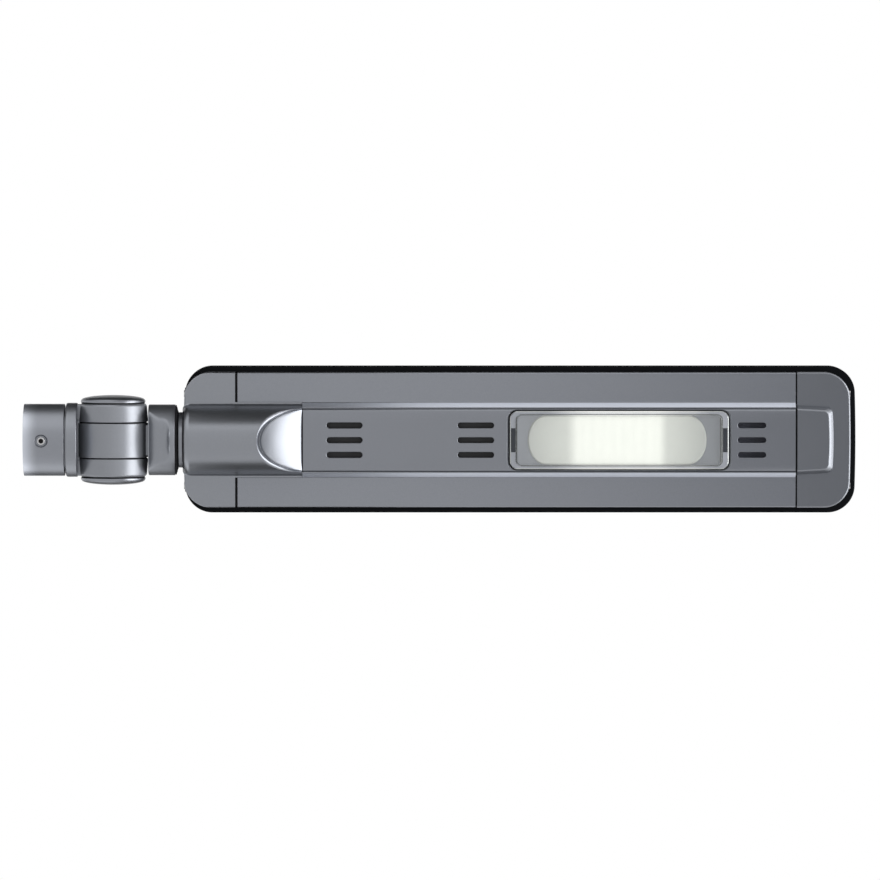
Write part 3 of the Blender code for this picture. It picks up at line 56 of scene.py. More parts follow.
# Working values. Lengths are in metres, and places along X are measured from the sleeve's mouth.
GAP = 0.0003                # air between two pieces
OVERSHOOT = 0.0040          # how far a cutter or a joining piece reaches past a face
CLEAR = 0.0010              # the same where there is little room
MERGE = 1e-6
FLAT = 0.9                  # a face lies flat when its normal's Z is beyond this
SMOOTH_ANGLE = radians(34)
FINE_ROUND = 224            # sides of round pieces, from large to small
ROUND = 192
BARREL_ROUND = 160
POCKET_ROUND = 96
SMALL_ROUND = 64
PAD_ROUND = 40
DRILL_ROUND = 32
HOLE_ROUND = 24
FILLET_STEPS = 12
EDGE_STEPS = 6
SOFT_EDGE_STEPS = 8
TURNED_EDGE_STEPS = 4

ALONG_X = Matrix.Identity(4)
ALONG_MINUS_X = Matrix.Rotation(pi, 4, 'Z')
ALONG_Y = Matrix.Rotation(pi / 2, 4, 'Z')
ALONG_MINUS_Y = Matrix.Rotation(-pi / 2, 4, 'Z')
ALONG_Z = Matrix.Rotation(-pi / 2, 4, 'Y')
ALONG_MINUS_Z = Matrix.Rotation(pi / 2, 4, 'Y')

# Pole sleeve
SLEEVE_BORE = 0.03075
SLEEVE_MOUTH_EDGE = 0.0006
SLEEVE_END_EDGE = 0.0005
SET_SCREW_X = 0.0183
SET_SCREW_RADIUS = 0.0040
SET_SCREW_TIP = 0.0312
SET_SCREW_TIP_EDGE = 0.0006
SET_SCREW_HEAD = 0.0348
SET_SCREW_HEAD_EDGE = 0.0005
SET_SCREW_FLATS = 0.0046
SET_SCREW_SOCKET = 0.0033
SEAT_FLOOR = 0.0337
SEAT_FLOOR_WIDTH = 0.0010

# Hinge
HINGE_X = 0.0890
HINGE = (HINGE_X, 0.0, 0.0)
PLUG_RADIUS = SLEEVE_BORE - GAP
PLUG_EDGE = 0.0008
COLLAR_START = 0.0420
COLLAR_END = 0.0535
COLLAR_REAR_EDGE = 0.0020
COLLAR_FRONT_EDGE = 0.0008
CRADLE_END = 0.0556
CRADLE_OVERLAP = 0.0015
WEB_HALF_HEIGHT = 0.0100
WEB_EDGE = 0.0020
KNUCKLE_EDGE = 0.0007
EAR_INNER = 0.0183
EAR_OUTER = 0.0367
EAR_END_RADIUS = 0.0336
EAR_END_EDGE = 0.0034
EAR_GROOVE_BORE = 0.0290
EAR_GROOVE_DEPTH = 0.0009
EAR_GROOVE_INSET = 0.0014
BOLT_HOLE_RADIUS = 0.0083
POCKET_RADIUS = 0.0200
POCKET_FLOOR = 0.0267
CAP_RIM = 0.0030
CAP_RIM_EDGE = 0.0009
CAP_FOOT_INSET = 0.0005
CAP_FOOT_EDGE = 0.0003
CAP_FOOT_LENGTH = 0.0007
CAP_DOME_RADIUS = 0.0317
CAP_DOME_STEPS = 28
CAP_PLUG_RADIUS = 0.0196
CAP_PLUG_DEPTH = 0.0065
CAP_PLUG_EDGE = 0.0005
CAP_WALL = 0.0028

# Neck
LUG_HALF_WIDTH = 0.0171
LUG_BORE = 0.0113
LUG_BORE_EDGE = 0.0004
PARTING_Y = -0.0035
PARTING_RIDGE = 0.00012
PARTING_FOOT = 0.0003
PARTING_TOP = 0.0001
NECK_START = 0.1246
NECK_END = 0.1517
NECK_EDGE = 0.0010
NECK_FLAT = 0.0294
NECK_FLAT_EASE = 0.0040
NECK_WAIST = 0.0225
NECK_FILLET = 0.0080
NECK_FILLET_END = 0.1460
NECK_LIP = ((0.0004, 0.0362), (0.0009, 0.0372))     # past the fillet: run and height of the flat
NECK_LIP_LENGTH = 0.0014
NECK_WEB_START = 0.1050
NECK_WEB_HALF_WIDTH = 0.0150
NECK_WEB_HALF_HEIGHT = 0.0125
PIVOT_RADIUS = 0.0120
PIVOT_SHOULDER = 0.1715
PIVOT_STUD_RADIUS = 0.0080
PIVOT_END = 0.1900
PIVOT_EDGE = 0.0008
SEAL_END = 0.1543
SEAL_RIBS = 3
SEAL_RIB_EDGE = 0.0004
SEAL_RIB_SLANT = 0.0002
SEAL_TIP_RADIUS = 0.0284
SEAL_TIP_DRAFT = 0.0004
SEAL_TIP_EDGE = 0.0003

# End castings
REAR_CAP_START = 0.1595
REAR_CAP_END = 0.2110
FRONT_CAP_START = 0.7733
FRONT_CAP_END = 0.8270
CAP_HALF_WIDTH = 0.0679
CAP_CORNER = 0.0250
WALL = 0.0026
WING_Z = -0.0025
WALL_TOP_Z = 0.0140
END_SCREW_Y = 0.0460
END_SCREW_Z = 0.0055
END_SCREW_PAD_RADIUS = 0.0062
END_SCREW_PAD_DEPTH = 0.0080
END_SCREW_HEAD_RADIUS = 0.0040
END_SCREW_HEAD_DEPTH = 0.0027
END_SCREW_HOLE_RADIUS = 0.0023
FRONT_PAD_SHIFT = 0.0009
NOSE_RADIUS = 0.0278
NOSE_EDGE = 0.0008
NOSE_WALL_END = 0.1720
NOSE_TRIM_START = 0.1592
NOSE_TRIM_Z = 0.0137
FRONT_RIB_END = 0.8100
FRONT_RIB_FACE_END = 0.8060
FRONT_RIB_BASE = 0.0348
FRONT_RIB_FACE = 0.0308
FRONT_RIB_Z = -0.0096
FRONT_RIB_DRAFT = 0.0018
FRONT_RIB_BOW = 0.0012
FRONT_RIB_EDGE = 0.0012
FRONT_RIB_CORNER = 0.0060
FRONT_RIB_SIDE_CORNER = 0.0055
FRONT_RIB_FACE_CORNER = 0.0050
FRONT_RIB_HOLLOW_CORNER = 0.0045
FRONT_RIB_SIDES = ((0.25, 0.02), (0.45, 0.05), (0.52, 0.15), (0.75, 0.58), (0.88, 0.82))
FRONT_RIB_FACES = ((0.97, 0.35), (1.0, 1.0))

# Boss of the arm socket and its slope
BOSS_START = 0.1586
BOSS_END = 0.2780
BOSS_FLANK = radians(78)
BOSS_FOOT_FILLET = 0.0030
BOSS_FOOT_Z = -0.0024
BOSS_TOP_Z = 0.0015
BOSS_WALL = 0.0032
BOSS_REAR_FILLET = 0.0075
BOSS_CROWN_STEPS = 72
BOSS_FLANK_STEPS = 8
BOSS_PLAIN_STEPS = 6
BOSS_SLOPE_STEPS = 150
BOSS_SLOPE_LEAD = 0.0012
HOLLOW_STEPS = 16
HOLLOW_LEAD = 0.0020
HOLLOW_EASE = 0.0030
RAMP_START = 0.2334
RAMP_STEP = 0.0048
RAMP_STEP_LENGTH = 0.0022
RAMP_SIDE_STEP_LENGTH = 0.0050
RAMP_SLOPE = 0.250
RAMP_STEEPENING = 5.9
RAMP_CURVE = 24.6
RAMP_CURVE_POWER = -0.25
RAMP_HALF_WIDTH = 0.0323
RAMP_WIDEST = 0.985
RAMP_CROWN = 3.5
RAMP_CROWN_END = 0.2480
RAMP_SIDE = 0.0280
RAMP_EDGE_EASE = 0.0001
RAMP_SIDE_EASE = 0.0110
RAMP_GROOVE = 0.0020
RAMP_GROOVE_OFFSET = 0.0003
RAMP_GROOVE_WIDTH = 0.0014
RAMP_GROOVE_FADE = 0.5

# Body profile
PROFILE_START = 0.2135
PROFILE_END = 0.7717
PROFILE_HALF_WIDTH = 0.0674
PROFILE_EDGE = 0.0012
PROFILE_TOP_EDGE = 0.0004
FLANGE_WIDTH = 0.0094
FLANGE_LOW_Z = 0.0116
FLUTE_HALF_WIDTH = 0.0022
FLUTE_WALL = 0.0016
FLUTE_TOP_Z = 0.0090
RAIL_BASE = 0.0377
RAIL_BASE_EDGE = 0.0010
RAIL_TIP = 0.0327
RAIL_TIP_EDGE = 0.00025
RAIL_Z = -0.0087
RAIL_INNER_BASE = 0.0386
RAIL_INNER_TIP = 0.0330
GROOVE_HALF_WIDTH = 0.0318
SEAT_HALF_WIDTH = 0.0313
SEAT_Z = -0.0073
SEAT_INNER_Z = -0.0052
VENT_WINDOW_MARGIN = 0.0040
VENT_WINDOW_HALF_WIDTH = 0.0210
LIGHT_WINDOW_MARGIN = 0.0085
LIGHT_WINDOW_HALF_WIDTH = 0.0255

# Cover strip
STRIP_START = 0.2790
STRIP_END = 0.7714
STRIP_EDGE_Z = -0.0093
STRIP_EDGE_WIDTH = 0.0030
STRIP_EDGE_DROP = 0.0014
STRIP_EDGE_ANGLE = radians(27)
STRIP_CROWN_STEPS = 24
STRIP_CROWN_POWER = 6
SLOT_PITCH = 0.01475
SLOT_STEPS = 16
SLOT_GROUPS = ((0.3025, 0.3385), (0.4335, 0.4700), (0.7135, 0.7420))
WINDOW_BEVEL = 0.0009

# Light
LENS_START = 0.4848
LENS_END = 0.7055
LENS_HALF_WIDTH = 0.0300
LENS_GAP = 0.0009
LENS_CORNER = 0.0085
LENS_CORNER_SHARE = 0.6
LENS_LEAST_CORNER = 0.0015
LENS_RIM = 0.0011
LENS_FLANGE_Z = -0.0109
LENS_FLANGE_TOP_Z = -0.0089
LENS_FACE_Z = -0.0124
LENS_FACE_EDGE = 0.0005
LENS_FACE_MARGIN_X = 0.0080
LENS_FACE_MARGIN_Y = 0.0050
LENS_FACE_FOOT = 0.0012
LENS_SKIN = 0.0016
EDGE_SHARE = 0.3            # where the middle ring of a small rounding lies
CLIP_LENGTH = 0.0240
CLIP_WIDTH = 0.0044
CLIP_OFFSET = 0.0044
CLIP_EDGE = 0.0008
CLIP_END_EDGE = 0.0003
TRAY_MARGIN = 0.0045
TRAY_HALF_WIDTH = 0.0285
TRAY_CORNER = 0.0040
TRAY_SHEET = 0.0015
DIFFUSER_START = 0.5040
DIFFUSER_END = 0.6825
DIFFUSER_HALF_WIDTH = 0.0246
DIFFUSER_END_LENGTH = 0.0185
DIFFUSER_STEPS = 40
DIFFUSER_FACE_Z = -0.0084
DIFFUSER_SKIN = 0.0016
DIFFUSER_BRIM = 0.0026
LED_MIDDLE_X = 0.5945
LED_PITCH = 0.0104

# Solar panel
FRAME_START = 0.1600
FRAME_END = 0.8325
FRAME_MIDDLE = (FRAME_START + FRAME_END) / 2
FRAME_HALF_WIDTH = 0.0735
FRAME_CORNER = 0.0260
FRAME_BOTTOM_Z = 0.0143
FRAME_TOP_Z = 0.0360
FRAME_WALL = 0.0026
FRAME_LIP = 0.0045
FRAME_LIP_EDGE = 0.0003
FRAME_LIP_HEIGHT = 0.0011
FRAME_LEDGE = 0.0080
FRAME_LEDGE_Z = 0.0296
FRAME_LEDGE_HEIGHT = 0.0020
FRAME_FOOT = 0.0160
FRAME_FOOT_HEIGHT = 0.0025
FRAME_SCREW_Y = 0.0610
FRAME_SCREW_XS = (0.2600, 0.4900, 0.7300)
FRAME_HOLE_RADIUS = 0.0020
GLASS_THICKNESS = 0.0032
GLASS_EDGE = 0.0004
SHEET_THICKNESS = 0.0008
CELL_THICKNESS = 0.0004
CELL_HALF_WIDTH = 0.0625
CELL_CORNER = 0.0020
END_CELL_CORNER = FRAME_CORNER - 0.0110

# Stage
CAMERA_AIM = (0.416, 0.0, -0.005)
CAMERA_SENSOR = 36.0
CAMERA_REACH = 100.0
FLOOR_MIDDLE_X = 0.4
FLOOR_REACH = 16.0
FLOOR_GLOW = 0.95
FLOOR_GLOW_SHARE = 0.9
KEY_PLACE = (5.63, 0.0, -2.44)
KEY_TARGET = (0.15, 0.0, 0.0)
KEY_SIZE = (7.0, 5.6)
WHITE = (1.0, 1.0, 1.0)
BLACK = (0.0, 0.0, 0.0)

# Cards beside the lamp: y, low and high edge, start and end along X, level
SIDE_CARDS = {
    "right_flag": (-1.1, 0.16, 3.2, -1.2, 2.4, 0.02),
    "right_glow": (-1.1, -1.30, -0.06, -1.2, 2.4, 1.35),
    "left_flag": (1.1, 0.70, 3.2, -1.2, 2.4, 0.12),
    "left_glow": (1.1, -0.12, 0.55, -1.2, 2.4, 1.45),
    "boss_flag_right": (-0.30, -0.22, 0.20, 0.12, 0.36, 0.02),
    "boss_flag_left": (0.30, -0.085, 0.20, 0.14, 0.36, 0.02),
    "bracket_flag": (-0.30, 0.06, 0.60, -0.30, 0.12, 0.02),
}
# Cards beyond and below the lamp's front: corners, level, tint
FRONT_CARDS = {
    "front_flag": (((2.6, -3.0, 0.45), (2.6, 3.0, 0.45), (2.6, 3.0, 6.0), (2.6, -3.0, 6.0)),
                   0.10, WHITE),
    "front_shade": (((0.74, -0.7, -1.1), (1.5, -0.7, -1.1), (1.5, 0.7, -1.1), (0.74, 0.7, -1.1)),
                    0.25, (0.85, 0.9, 1.0)),
}


# Settings

def low_corner(node):
    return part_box(node)[0]


def high_corner(node):
    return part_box(node)[1]


def length(name, description, default):
    return FloatProperty(name=name, description=description, default=default, min=0.0,
                         unit='LENGTH', precision=5)


def colour(name, description, default):
    return FloatVectorProperty(name=name, description=description, default=default, min=0.0,
                               max=1.0, size=3, subtype='COLOR')


class LampSizes(bpy.types.PropertyGroup):
    """Sizes of the visible pieces."""
    sleeve_length: length("Sleeve length", "Length of the sleeve that slips over the pole",
                          high_corner("pole_sleeve").x)
    sleeve_radius: length("Sleeve radius", "Outside radius of the pole sleeve",
                          high_corner("pole_sleeve").y)
    seat_radius: length("Screw seat", "Radius of the countersink round each set screw", 0.0072)
    collar_radius: length("Collar radius", "Radius of the collar behind the sleeve", 0.0370)
    ear_radius: length("Ear radius", "Radius of the two outer hinge knuckles", 0.0350)
    lug_radius: length("Lug radius", "Radius of the middle hinge knuckle", 0.0355)
    cap_radius: length("Hinge cap radius", "Radius of the caps over the hinge bolt", 0.0323)
    cap_height: length("Hinge cap height", "Height of the domed hinge caps", 0.0078)
    neck_radius: length("Neck radius", "Radius of the barrel behind the knuckle", 0.0354)
    boss_depth: length("Boss depth", "Depth of the arm socket's boss below the axis", 0.0368)
    boss_crown: length("Boss crown", "Radius of the boss's crown", 0.0345)
    casting_edge: length("Casting edge", "Rounding of the end castings' lower edge", 0.0019)
    end_bow: length("End bow", "How far the lamp's ends bow out in the middle", 0.0018)
    strip_crown: length("Strip crown", "Height of the cover strip's crown", 0.0012)
    slot_half_width: length("Vent half width", "Half the width of a vent slot", 0.0029)
    slot_chamfer: length("Vent chamfer", "Chamfer round the mouth of a vent slot", 0.0004)
    frame_rounding: length("Frame rounding", "Rounding of the panel frame's upper edge", 0.0022)
    cell_count: IntProperty(name="Solar cells", description="Number of solar cells in the panel",
                            default=12, min=1, max=24)
    cell_pitch: length("Cell pitch", "Distance from one solar cell to the next", 0.0540)
    cell_gap: length("Cell gap", "Gap between two solar cells", 0.0020)


class LampColours(bpy.types.PropertyGroup):
    """Colours of the finishes, as linear values."""
    paint: colour("Silver paint", "Paint on the body profile and the cover strip",
                  (0.262, 0.274, 0.302))
    casting: colour("Painted casting", "Paint on the cast pieces", (0.266, 0.278, 0.304))
    steel: colour("Zinc steel", "Zinc plate on screws and bolts", (0.55, 0.55, 0.56))
    bronze: colour("Bronze", "Hinge bush", (0.52, 0.36, 0.16))
    rubber: colour("Rubber", "Seals and gaskets", (0.006, 0.006, 0.007))
    black_plastic: colour("Black plastic", "Panel frame and clips", (0.0040, 0.0045, 0.0055))
    clear: colour("Clear cover", "Tint of the clear lens cover", (0.80, 0.83, 0.82))
    opal: colour("Opal", "Light diffuser when unlit", (0.62, 0.64, 0.60))
    glow: colour("Glow", "Light of the diffuser over the diodes", (0.80, 0.80, 0.74))
    board: colour("White board", "Diode board", (0.78, 0.78, 0.75))
    aluminium: colour("Bare aluminium", "Heat spreader", (0.66, 0.67, 0.69))
    glass: colour("Panel glass", "Tint of the solar panel's glass", (0.030, 0.036, 0.050))
    cell: colour("Solar cell", "Face of a solar cell", (0.016, 0.026, 0.064))
    back_sheet: colour("Back sheet", "Sheet between the solar cells", (0.040, 0.043, 0.050))
    busbar: colour("Busbar", "Tinned conductors on the cells", (0.55, 0.56, 0.57))
    battery: colour("Battery wrap", "Sleeve round the battery cells", (0.011, 0.012, 0.015))
    controller: colour("Controller board", "Solder mask of the controller board",
                       (0.100, 0.106, 0.140))
    lead: colour("Red lead", "Insulation of the inner leads", (0.45, 0.02, 0.02))


class StageSettings(bpy.types.PropertyGroup):
    """Camera, floor and lights."""
    distance: length("Camera distance", "Distance from the camera to the lamp", 8.0)
    picture_width: length("Picture width", "Width that the square picture covers at the lamp",
                          0.880)
    sideways: FloatProperty(name="Sideways angle", default=0.0, subtype='ANGLE',
                            description="Turn of the camera towards the lamp's front")
    tip: FloatProperty(name="Tip angle", default=radians(2.2), subtype='ANGLE',
                       description="Turn of the camera towards the lamp's right side")
    floor_z: FloatProperty(name="Floor level", default=-9.6, unit='LENGTH',
                           description="Height of the floor")
    floor: colour("Floor", "Colour of the floor", (0.80, 0.80, 0.80))
    sky_level: FloatProperty(name="Sky level", default=0.55, min=0.0,
                             description="Light of the pale surround")
    key_power: FloatProperty(name="Key light", default=490.0, min=0.0, unit='POWER',
                             description="Power of the soft light beyond the lamp's front")


# Outlines and sections

def arc(middle, radius_x, radius_y, start, end, steps):
    angles = [start + (end - start) * i / steps for i in range(steps + 1)]
    return [(middle[0] + radius_x * cos(a), middle[1] + radius_y * sin(a)) for a in angles]


def circle(radius, count):
    return arc((0.0, 0.0), radius, radius, 0.0, 2 * pi, count)[:-1]


def hexagon(across_flats):
    return circle(across_flats / sqrt(3), 6)


def rounding(radius, steps):
    """Insets and rises along a rounded edge, from the flat face to the upright side."""
    angles = [i * pi / 2 / steps for i in range(steps + 1)]
    return [(radius * (1 - sin(a)), radius * (1 - cos(a))) for a in angles]


def eased(corners, steps=5):
    """A closed chain of corners (a, b) or (a, b, radius), each rounded off by its radius."""
    points = []
    for i, corner in enumerate(corners):
        here = Vector(corner[:2])
        radius = corner[2] if len(corner) > 2 else 0.0
        if radius == 0.0:
            points.append(tuple(here))
            continue
        before = (Vector(corners[i - 1][:2]) - here).normalized()
        after = (Vector(corners[(i + 1) % len(corners)][:2]) - here).normalized()
        half = before.angle(after) / 2
        middle = here + (before + after).normalized() * (radius / sin(half))
        first = here + before * (radius / tan(half)) - middle
        last = here + after * (radius / tan(half)) - middle
        begin = atan2(first.y, first.x)
        turn = (atan2(last.y, last.x) - begin + pi) % (2 * pi) - pi
        points += arc(middle, radius, radius, begin, begin + turn, steps)
    return points


def plan(start, end, half_width, rear_corner, front_corner, rear_bow=0.0, front_bow=0.0,
         steps=20, bow_steps=12):
    """A rectangle from above, its corners rounded, or square at radius 0, its ends bowed out."""
    points = []
    corners = ((end, 1, front_corner, -1, front_bow), (start, 1, rear_corner, 1, rear_bow),
               (start, -1, rear_corner, 1, rear_bow), (end, -1, front_corner, -1, front_bow))
    for quarter, (x, side, radius, inward, bow) in enumerate(corners):
        begin = quarter * pi / 2
        middle = (x + inward * radius, side * (half_width - radius))
        corner = arc(middle, radius, radius, begin, begin + pi / 2, steps) if radius else [middle]
        if bow:
            end_line = [(x, middle[1] * (i / bow_steps)) for i in range(bow_steps)]
            corner = corner + end_line[::-1] if side * inward > 0 else end_line + corner
            corner = [(a + inward * bow * (b / half_width) ** 2, b) for a, b in corner]
        points += corner
    return points


def oval(start, end, half_width, end_length, steps):
    """A slot-like outline whose two ends are half ellipses."""
    front = arc((end - end_length, 0.0), end_length, half_width, -pi / 2, pi / 2, steps)
    rear = arc((start + end_length, 0.0), end_length, half_width, pi / 2, 3 * pi / 2, steps)
    return front + rear


def moved(outline, across, up):
    return [(a + across, b + up) for a, b in outline]


def mirrored(half, shared=0):
    """The chain of a section's +Y half, closed by its mirror image without the shared points."""
    return half + [(-y, z, *more) for y, z, *more in reversed(half[shared:])]


def at_x(x, section):
    return [Vector((x, y, z)) for y, z in section]


def at_z(z, outline):
    return [Vector((x, y, z)) for x, y in outline]


def eased_min(a, b, ease):
    """The smaller of two lengths, rounded off where they are within ease of each other."""
    near = max(ease - abs(a - b), 0.0) / ease
    return min(a, b) - near * near * ease / 4


# Shapes

def loft(rings, closed=False):
    """A solid skinned over rings of equal counts. A closed one joins its last ring to the first."""
    shape = bmesh.new()
    loops = [[shape.verts.new(point) for point in ring] for ring in rings]
    count = len(loops[0])
    followers = loops[1:] + loops[:1] if closed else loops[1:]
    for near, far in zip(loops, followers):
        for i in range(count):
            shape.faces.new((near[i - 1], near[i], far[i], far[i - 1]))
    if not closed:
        shape.faces.new(loops[0])
        shape.faces.new(loops[-1])
    bmesh.ops.remove_doubles(shape, verts=shape.verts, dist=MERGE)
    bmesh.ops.recalc_face_normals(shape, faces=shape.faces)
    return shape


def turned(corners, steps, turn=ALONG_X, at=(0.0, 0.0, 0.0)):
    """A profile of corners (along, radius, rounding) spun about X, then turned and put in place."""
    profile = eased(corners, TURNED_EDGE_STEPS)
    solid = profile[0][1] == 0
    rings = []
    shape = bmesh.new()
    for along, radius in profile:
        if radius == 0:
            rings.append([shape.verts.new((along, 0.0, 0.0))])
        else:
            rings.append([shape.verts.new((along, y, z)) for y, z in circle(radius, steps)])
    followers = rings[1:] if solid else rings[1:] + rings[:1]
    for near, far in zip(rings, followers):
        if len(near) == 1 and len(far) == 1:
            continue
        flat = abs(near[0].co.x - far[0].co.x) < MERGE
        if len(near) == 1 or len(far) == 1:
            tip, ring = (near[0], far) if len(near) == 1 else (far[0], near)
            if flat:
                shape.faces.new(ring)
                continue
            for i in range(steps):
                shape.faces.new((tip, ring[i - 1], ring[i]))
            continue
        for i in range(steps):
            shape.faces.new((near[i - 1], near[i], far[i], far[i - 1]))
    loose = [vert for vert in shape.verts if not vert.link_faces]
    bmesh.ops.delete(shape, geom=loose, context='VERTS')
    bmesh.ops.recalc_face_normals(shape, faces=shape.faces)
    bmesh.ops.transform(shape, matrix=Matrix.Translation(at) @ turn, verts=shape.verts)
    return shape


def cylinder(start, end, radius, steps, turn=ALONG_X, at=(0.0, 0.0, 0.0)):
    return turned([(start, 0.0), (start, radius), (end, radius), (end, 0.0)], steps, turn, at)


def prisms(place, outlines, low, high):
    """Straight solids that don't touch, in one shape, along X with at_x or along Z with at_z."""
    shape = bmesh.new()
    for outline in outlines:
        rings = [[shape.verts.new(point) for point in place(level, outline)]
                 for level in (low, high)]
        for i in range(len(outline)):
            shape.faces.new((rings[0][i - 1], rings[0][i], rings[1][i], rings[1][i - 1]))
        for ring in rings:
            shape.faces.new(ring)
    bmesh.ops.recalc_face_normals(shape, faces=shape.faces)
    return shape


def boxes(*corner_pairs):
    """Boxes that don't touch, in one shape, each given by its lowest and highest corner."""
    shape = bmesh.new()
    for low, high in corner_pairs:
        made = bmesh.ops.create_cube(shape, size=1.0)
        for vert in made["verts"]:
            for k in range(3):
                vert.co[k] = low[k] if vert.co[k] < 0 else high[k]
    bmesh.ops.recalc_face_normals(shape, faces=shape.faces)
    return shape


def gathered(*shapes):
    """Several shapes as one, without joining their surfaces."""
    whole = bmesh.new()
    for shape in shapes:
        mesh = bpy.data.meshes.new("part")
        shape.to_mesh(mesh)
        shape.free()
        whole.from_mesh(mesh)
        bpy.data.meshes.remove(mesh)
    return whole


def worked(shape, *steps):
    """A shape after its Boolean steps, each given as ('UNION' or 'DIFFERENCE', tool shape)."""
    blank = new_object("blank", shape)
    tools = []
    for operation, tool_shape in steps:
        tool = new_object("tool", tool_shape)
        tools.append(tool)
        modifier = blank.modifiers.new(operation.title(), 'BOOLEAN')
        modifier.operation = operation
        modifier.solver = 'EXACT'
        modifier.object = tool
    bpy.context.view_layer.update()
    evaluated = blank.evaluated_get(bpy.context.evaluated_depsgraph_get())
    result = bmesh.new()
    result.from_mesh(evaluated.to_mesh())
    evaluated.to_mesh_clear()
    for used in (blank, *tools):
        mesh = used.data
        bpy.data.objects.remove(used)
        bpy.data.meshes.remove(mesh)
    if not result.faces:
        raise RuntimeError("a Boolean step left nothing of its shape")
    bmesh.ops.remove_doubles(result, verts=result.verts, dist=MERGE)
    return result


def new_object(name, shape):
    mesh = bpy.data.meshes.new(name)
    shape.to_mesh(mesh)
    shape.free()
    made = bpy.data.objects.new(name, mesh)
    bpy.context.scene.collection.objects.link(made)
    return made


def show(name, shape, finish_name, slot, body, *nodes):
    """A visible piece that rides on a body and stands for the CAD nodes of its name."""
    piece = new_object(name, shape)
    piece.data.shade_smooth()
    piece.data.set_sharp_from_angle(angle=SMOOTH_ANGLE)
    normals = piece.modifiers.new("Weighted Normal", 'WEIGHTED_NORMAL')
    normals.keep_sharp = True
    piece.data.materials.append(finish(finish_name))
    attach(piece, body)
    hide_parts(*nodes)
    return piece


def paint_faces(piece, finish_name, chosen):
    """Give the faces that chosen picks a finish of their own."""
    piece.data.materials.append(finish(finish_name))
    index = len(piece.data.materials) - 1
    for face in piece.data.polygons:
        if chosen(face):
            face.material_index = index


# Shader maths

class Value:
    """A shader socket that takes part in sums. Each operation adds its Math node."""

    def __init__(self, finish, socket):
        self.finish = finish
        self.socket = socket

    def math(self, operation, first, second=0.0):
        return self.finish.node("ShaderNodeMath", {"operation": operation}, {0: first, 1: second})

    def __add__(self, other):
        return self.math('ADD', self, other)

    def __radd__(self, other):
        return self.math('ADD', other, self)

    def __sub__(self, other):
        return self.math('SUBTRACT', self, other)

    def __rsub__(self, other):
        return self.math('SUBTRACT', other, self)

    def __mul__(self, other):
        return self.math('MULTIPLY', self, other)

    def __rmul__(self, other):
        return self.math('MULTIPLY', other, self)

    def __truediv__(self, other):
        return self.math('DIVIDE', self, other)

    def __rtruediv__(self, other):
        return self.math('DIVIDE', other, self)

    def __mod__(self, other):
        return self.math('FLOORED_MODULO', self, other)

    def __rmod__(self, other):
        return self.math('FLOORED_MODULO', other, self)

    def __abs__(self):
        return self.math('ABSOLUTE', self)

    def __lt__(self, other):
        return self.math('LESS_THAN', self, other)

    def __gt__(self, other):
        return self.math('GREATER_THAN', self, other)


class Finish:
    """A node tree under construction: a piece's finish, or the world."""

    def __init__(self, owner):
        self.owner = owner
        owner.use_nodes = True
        self.tree = owner.node_tree
        self.tree.nodes.clear()

    @staticmethod
    def find(sockets, key):
        if isinstance(key, int):
            return sockets[key]
        return next(socket for socket in sockets if key in (socket.identifier, socket.name))

    def node(self, kind, settings=None, sockets=None, output=0):
        """Add a node, set it up, then set or link its sockets, and return one of its outputs."""
        node = self.tree.nodes.new(kind)
        for key, value in (settings or {}).items():
            setattr(node, key, value)
        for key, value in (sockets or {}).items():
            socket = self.find(node.inputs, key)
            if isinstance(value, Value):
                self.tree.links.new(value.socket, socket)
            else:
                socket.default_value = value
        return Value(self, self.find(node.outputs, output)) if node.outputs else None

    def place(self):
        return self.node("ShaderNodeTexCoord", output="Object")

    def axes(self):
        split = self.node("ShaderNodeSeparateXYZ", sockets={0: self.place()})
        return [Value(self, socket) for socket in split.socket.node.outputs]

    def stretched(self, by):
        return self.node("ShaderNodeVectorMath", {"operation": 'MULTIPLY'},
                         {0: self.place(), 1: by})

    def noise(self, scale, detail=2.0, stretch=(1.0, 1.0, 1.0)):
        return self.node("ShaderNodeTexNoise", sockets={
            "Vector": self.stretched(stretch), "Scale": scale, "Detail": detail})

    def rise(self, value, low, high):
        """0 up to low and 1 from high on, with a smooth rise between."""
        return self.node("ShaderNodeMapRange", {"interpolation_type": 'SMOOTHSTEP'},
                         {"Value": value, "From Min": low, "From Max": high})

    def blend(self, mask, first, second):
        """The first colour where the mask is 0, and the second where it is 1."""
        ends = [end if isinstance(end, Value) else (*end, 1.0) for end in (first, second)]
        return self.node("ShaderNodeMix", {"data_type": 'RGBA'}, {
            "Factor_Float": mask, "A_Color": ends[0], "B_Color": ends[1]}, "Result_Color")

    def bump(self, height, strength, distance):
        return self.node("ShaderNodeBump", sockets={
            "Strength": strength, "Distance": distance, "Height": height})

    def surface(self, **sockets):
        """The shader, its sockets named in plain words with _ for a space."""
        named = {key.replace("_", " ").title(): value for key, value in sockets.items()}
        for key in ("Ior", "Specular Ior Level"):
            if key in named:
                named[key.replace("Ior", "IOR")] = named.pop(key)
        for key in ("Base Color", "Emission Color"):
            if key in named and not isinstance(named[key], Value):
                named[key] = (*named[key], 1.0)
        shader = self.node("ShaderNodeBsdfPrincipled", sockets=named)
        self.node("ShaderNodeOutputMaterial", sockets={"Surface": shader})
        return self.owner


def new_finish(name):
    return Finish(bpy.data.materials.new(f"lamp_{name}"))


def shaded(colour, factor):
    return tuple(min(part * factor, 1.0) for part in colour)


# Finishes. Each maker takes the finish's name and the lamp's colours.

FLAKE_SCALE = 2300.0
FLAKE_RANGE = (0.25, 0.75)
FINE_BUMP = 0.0002

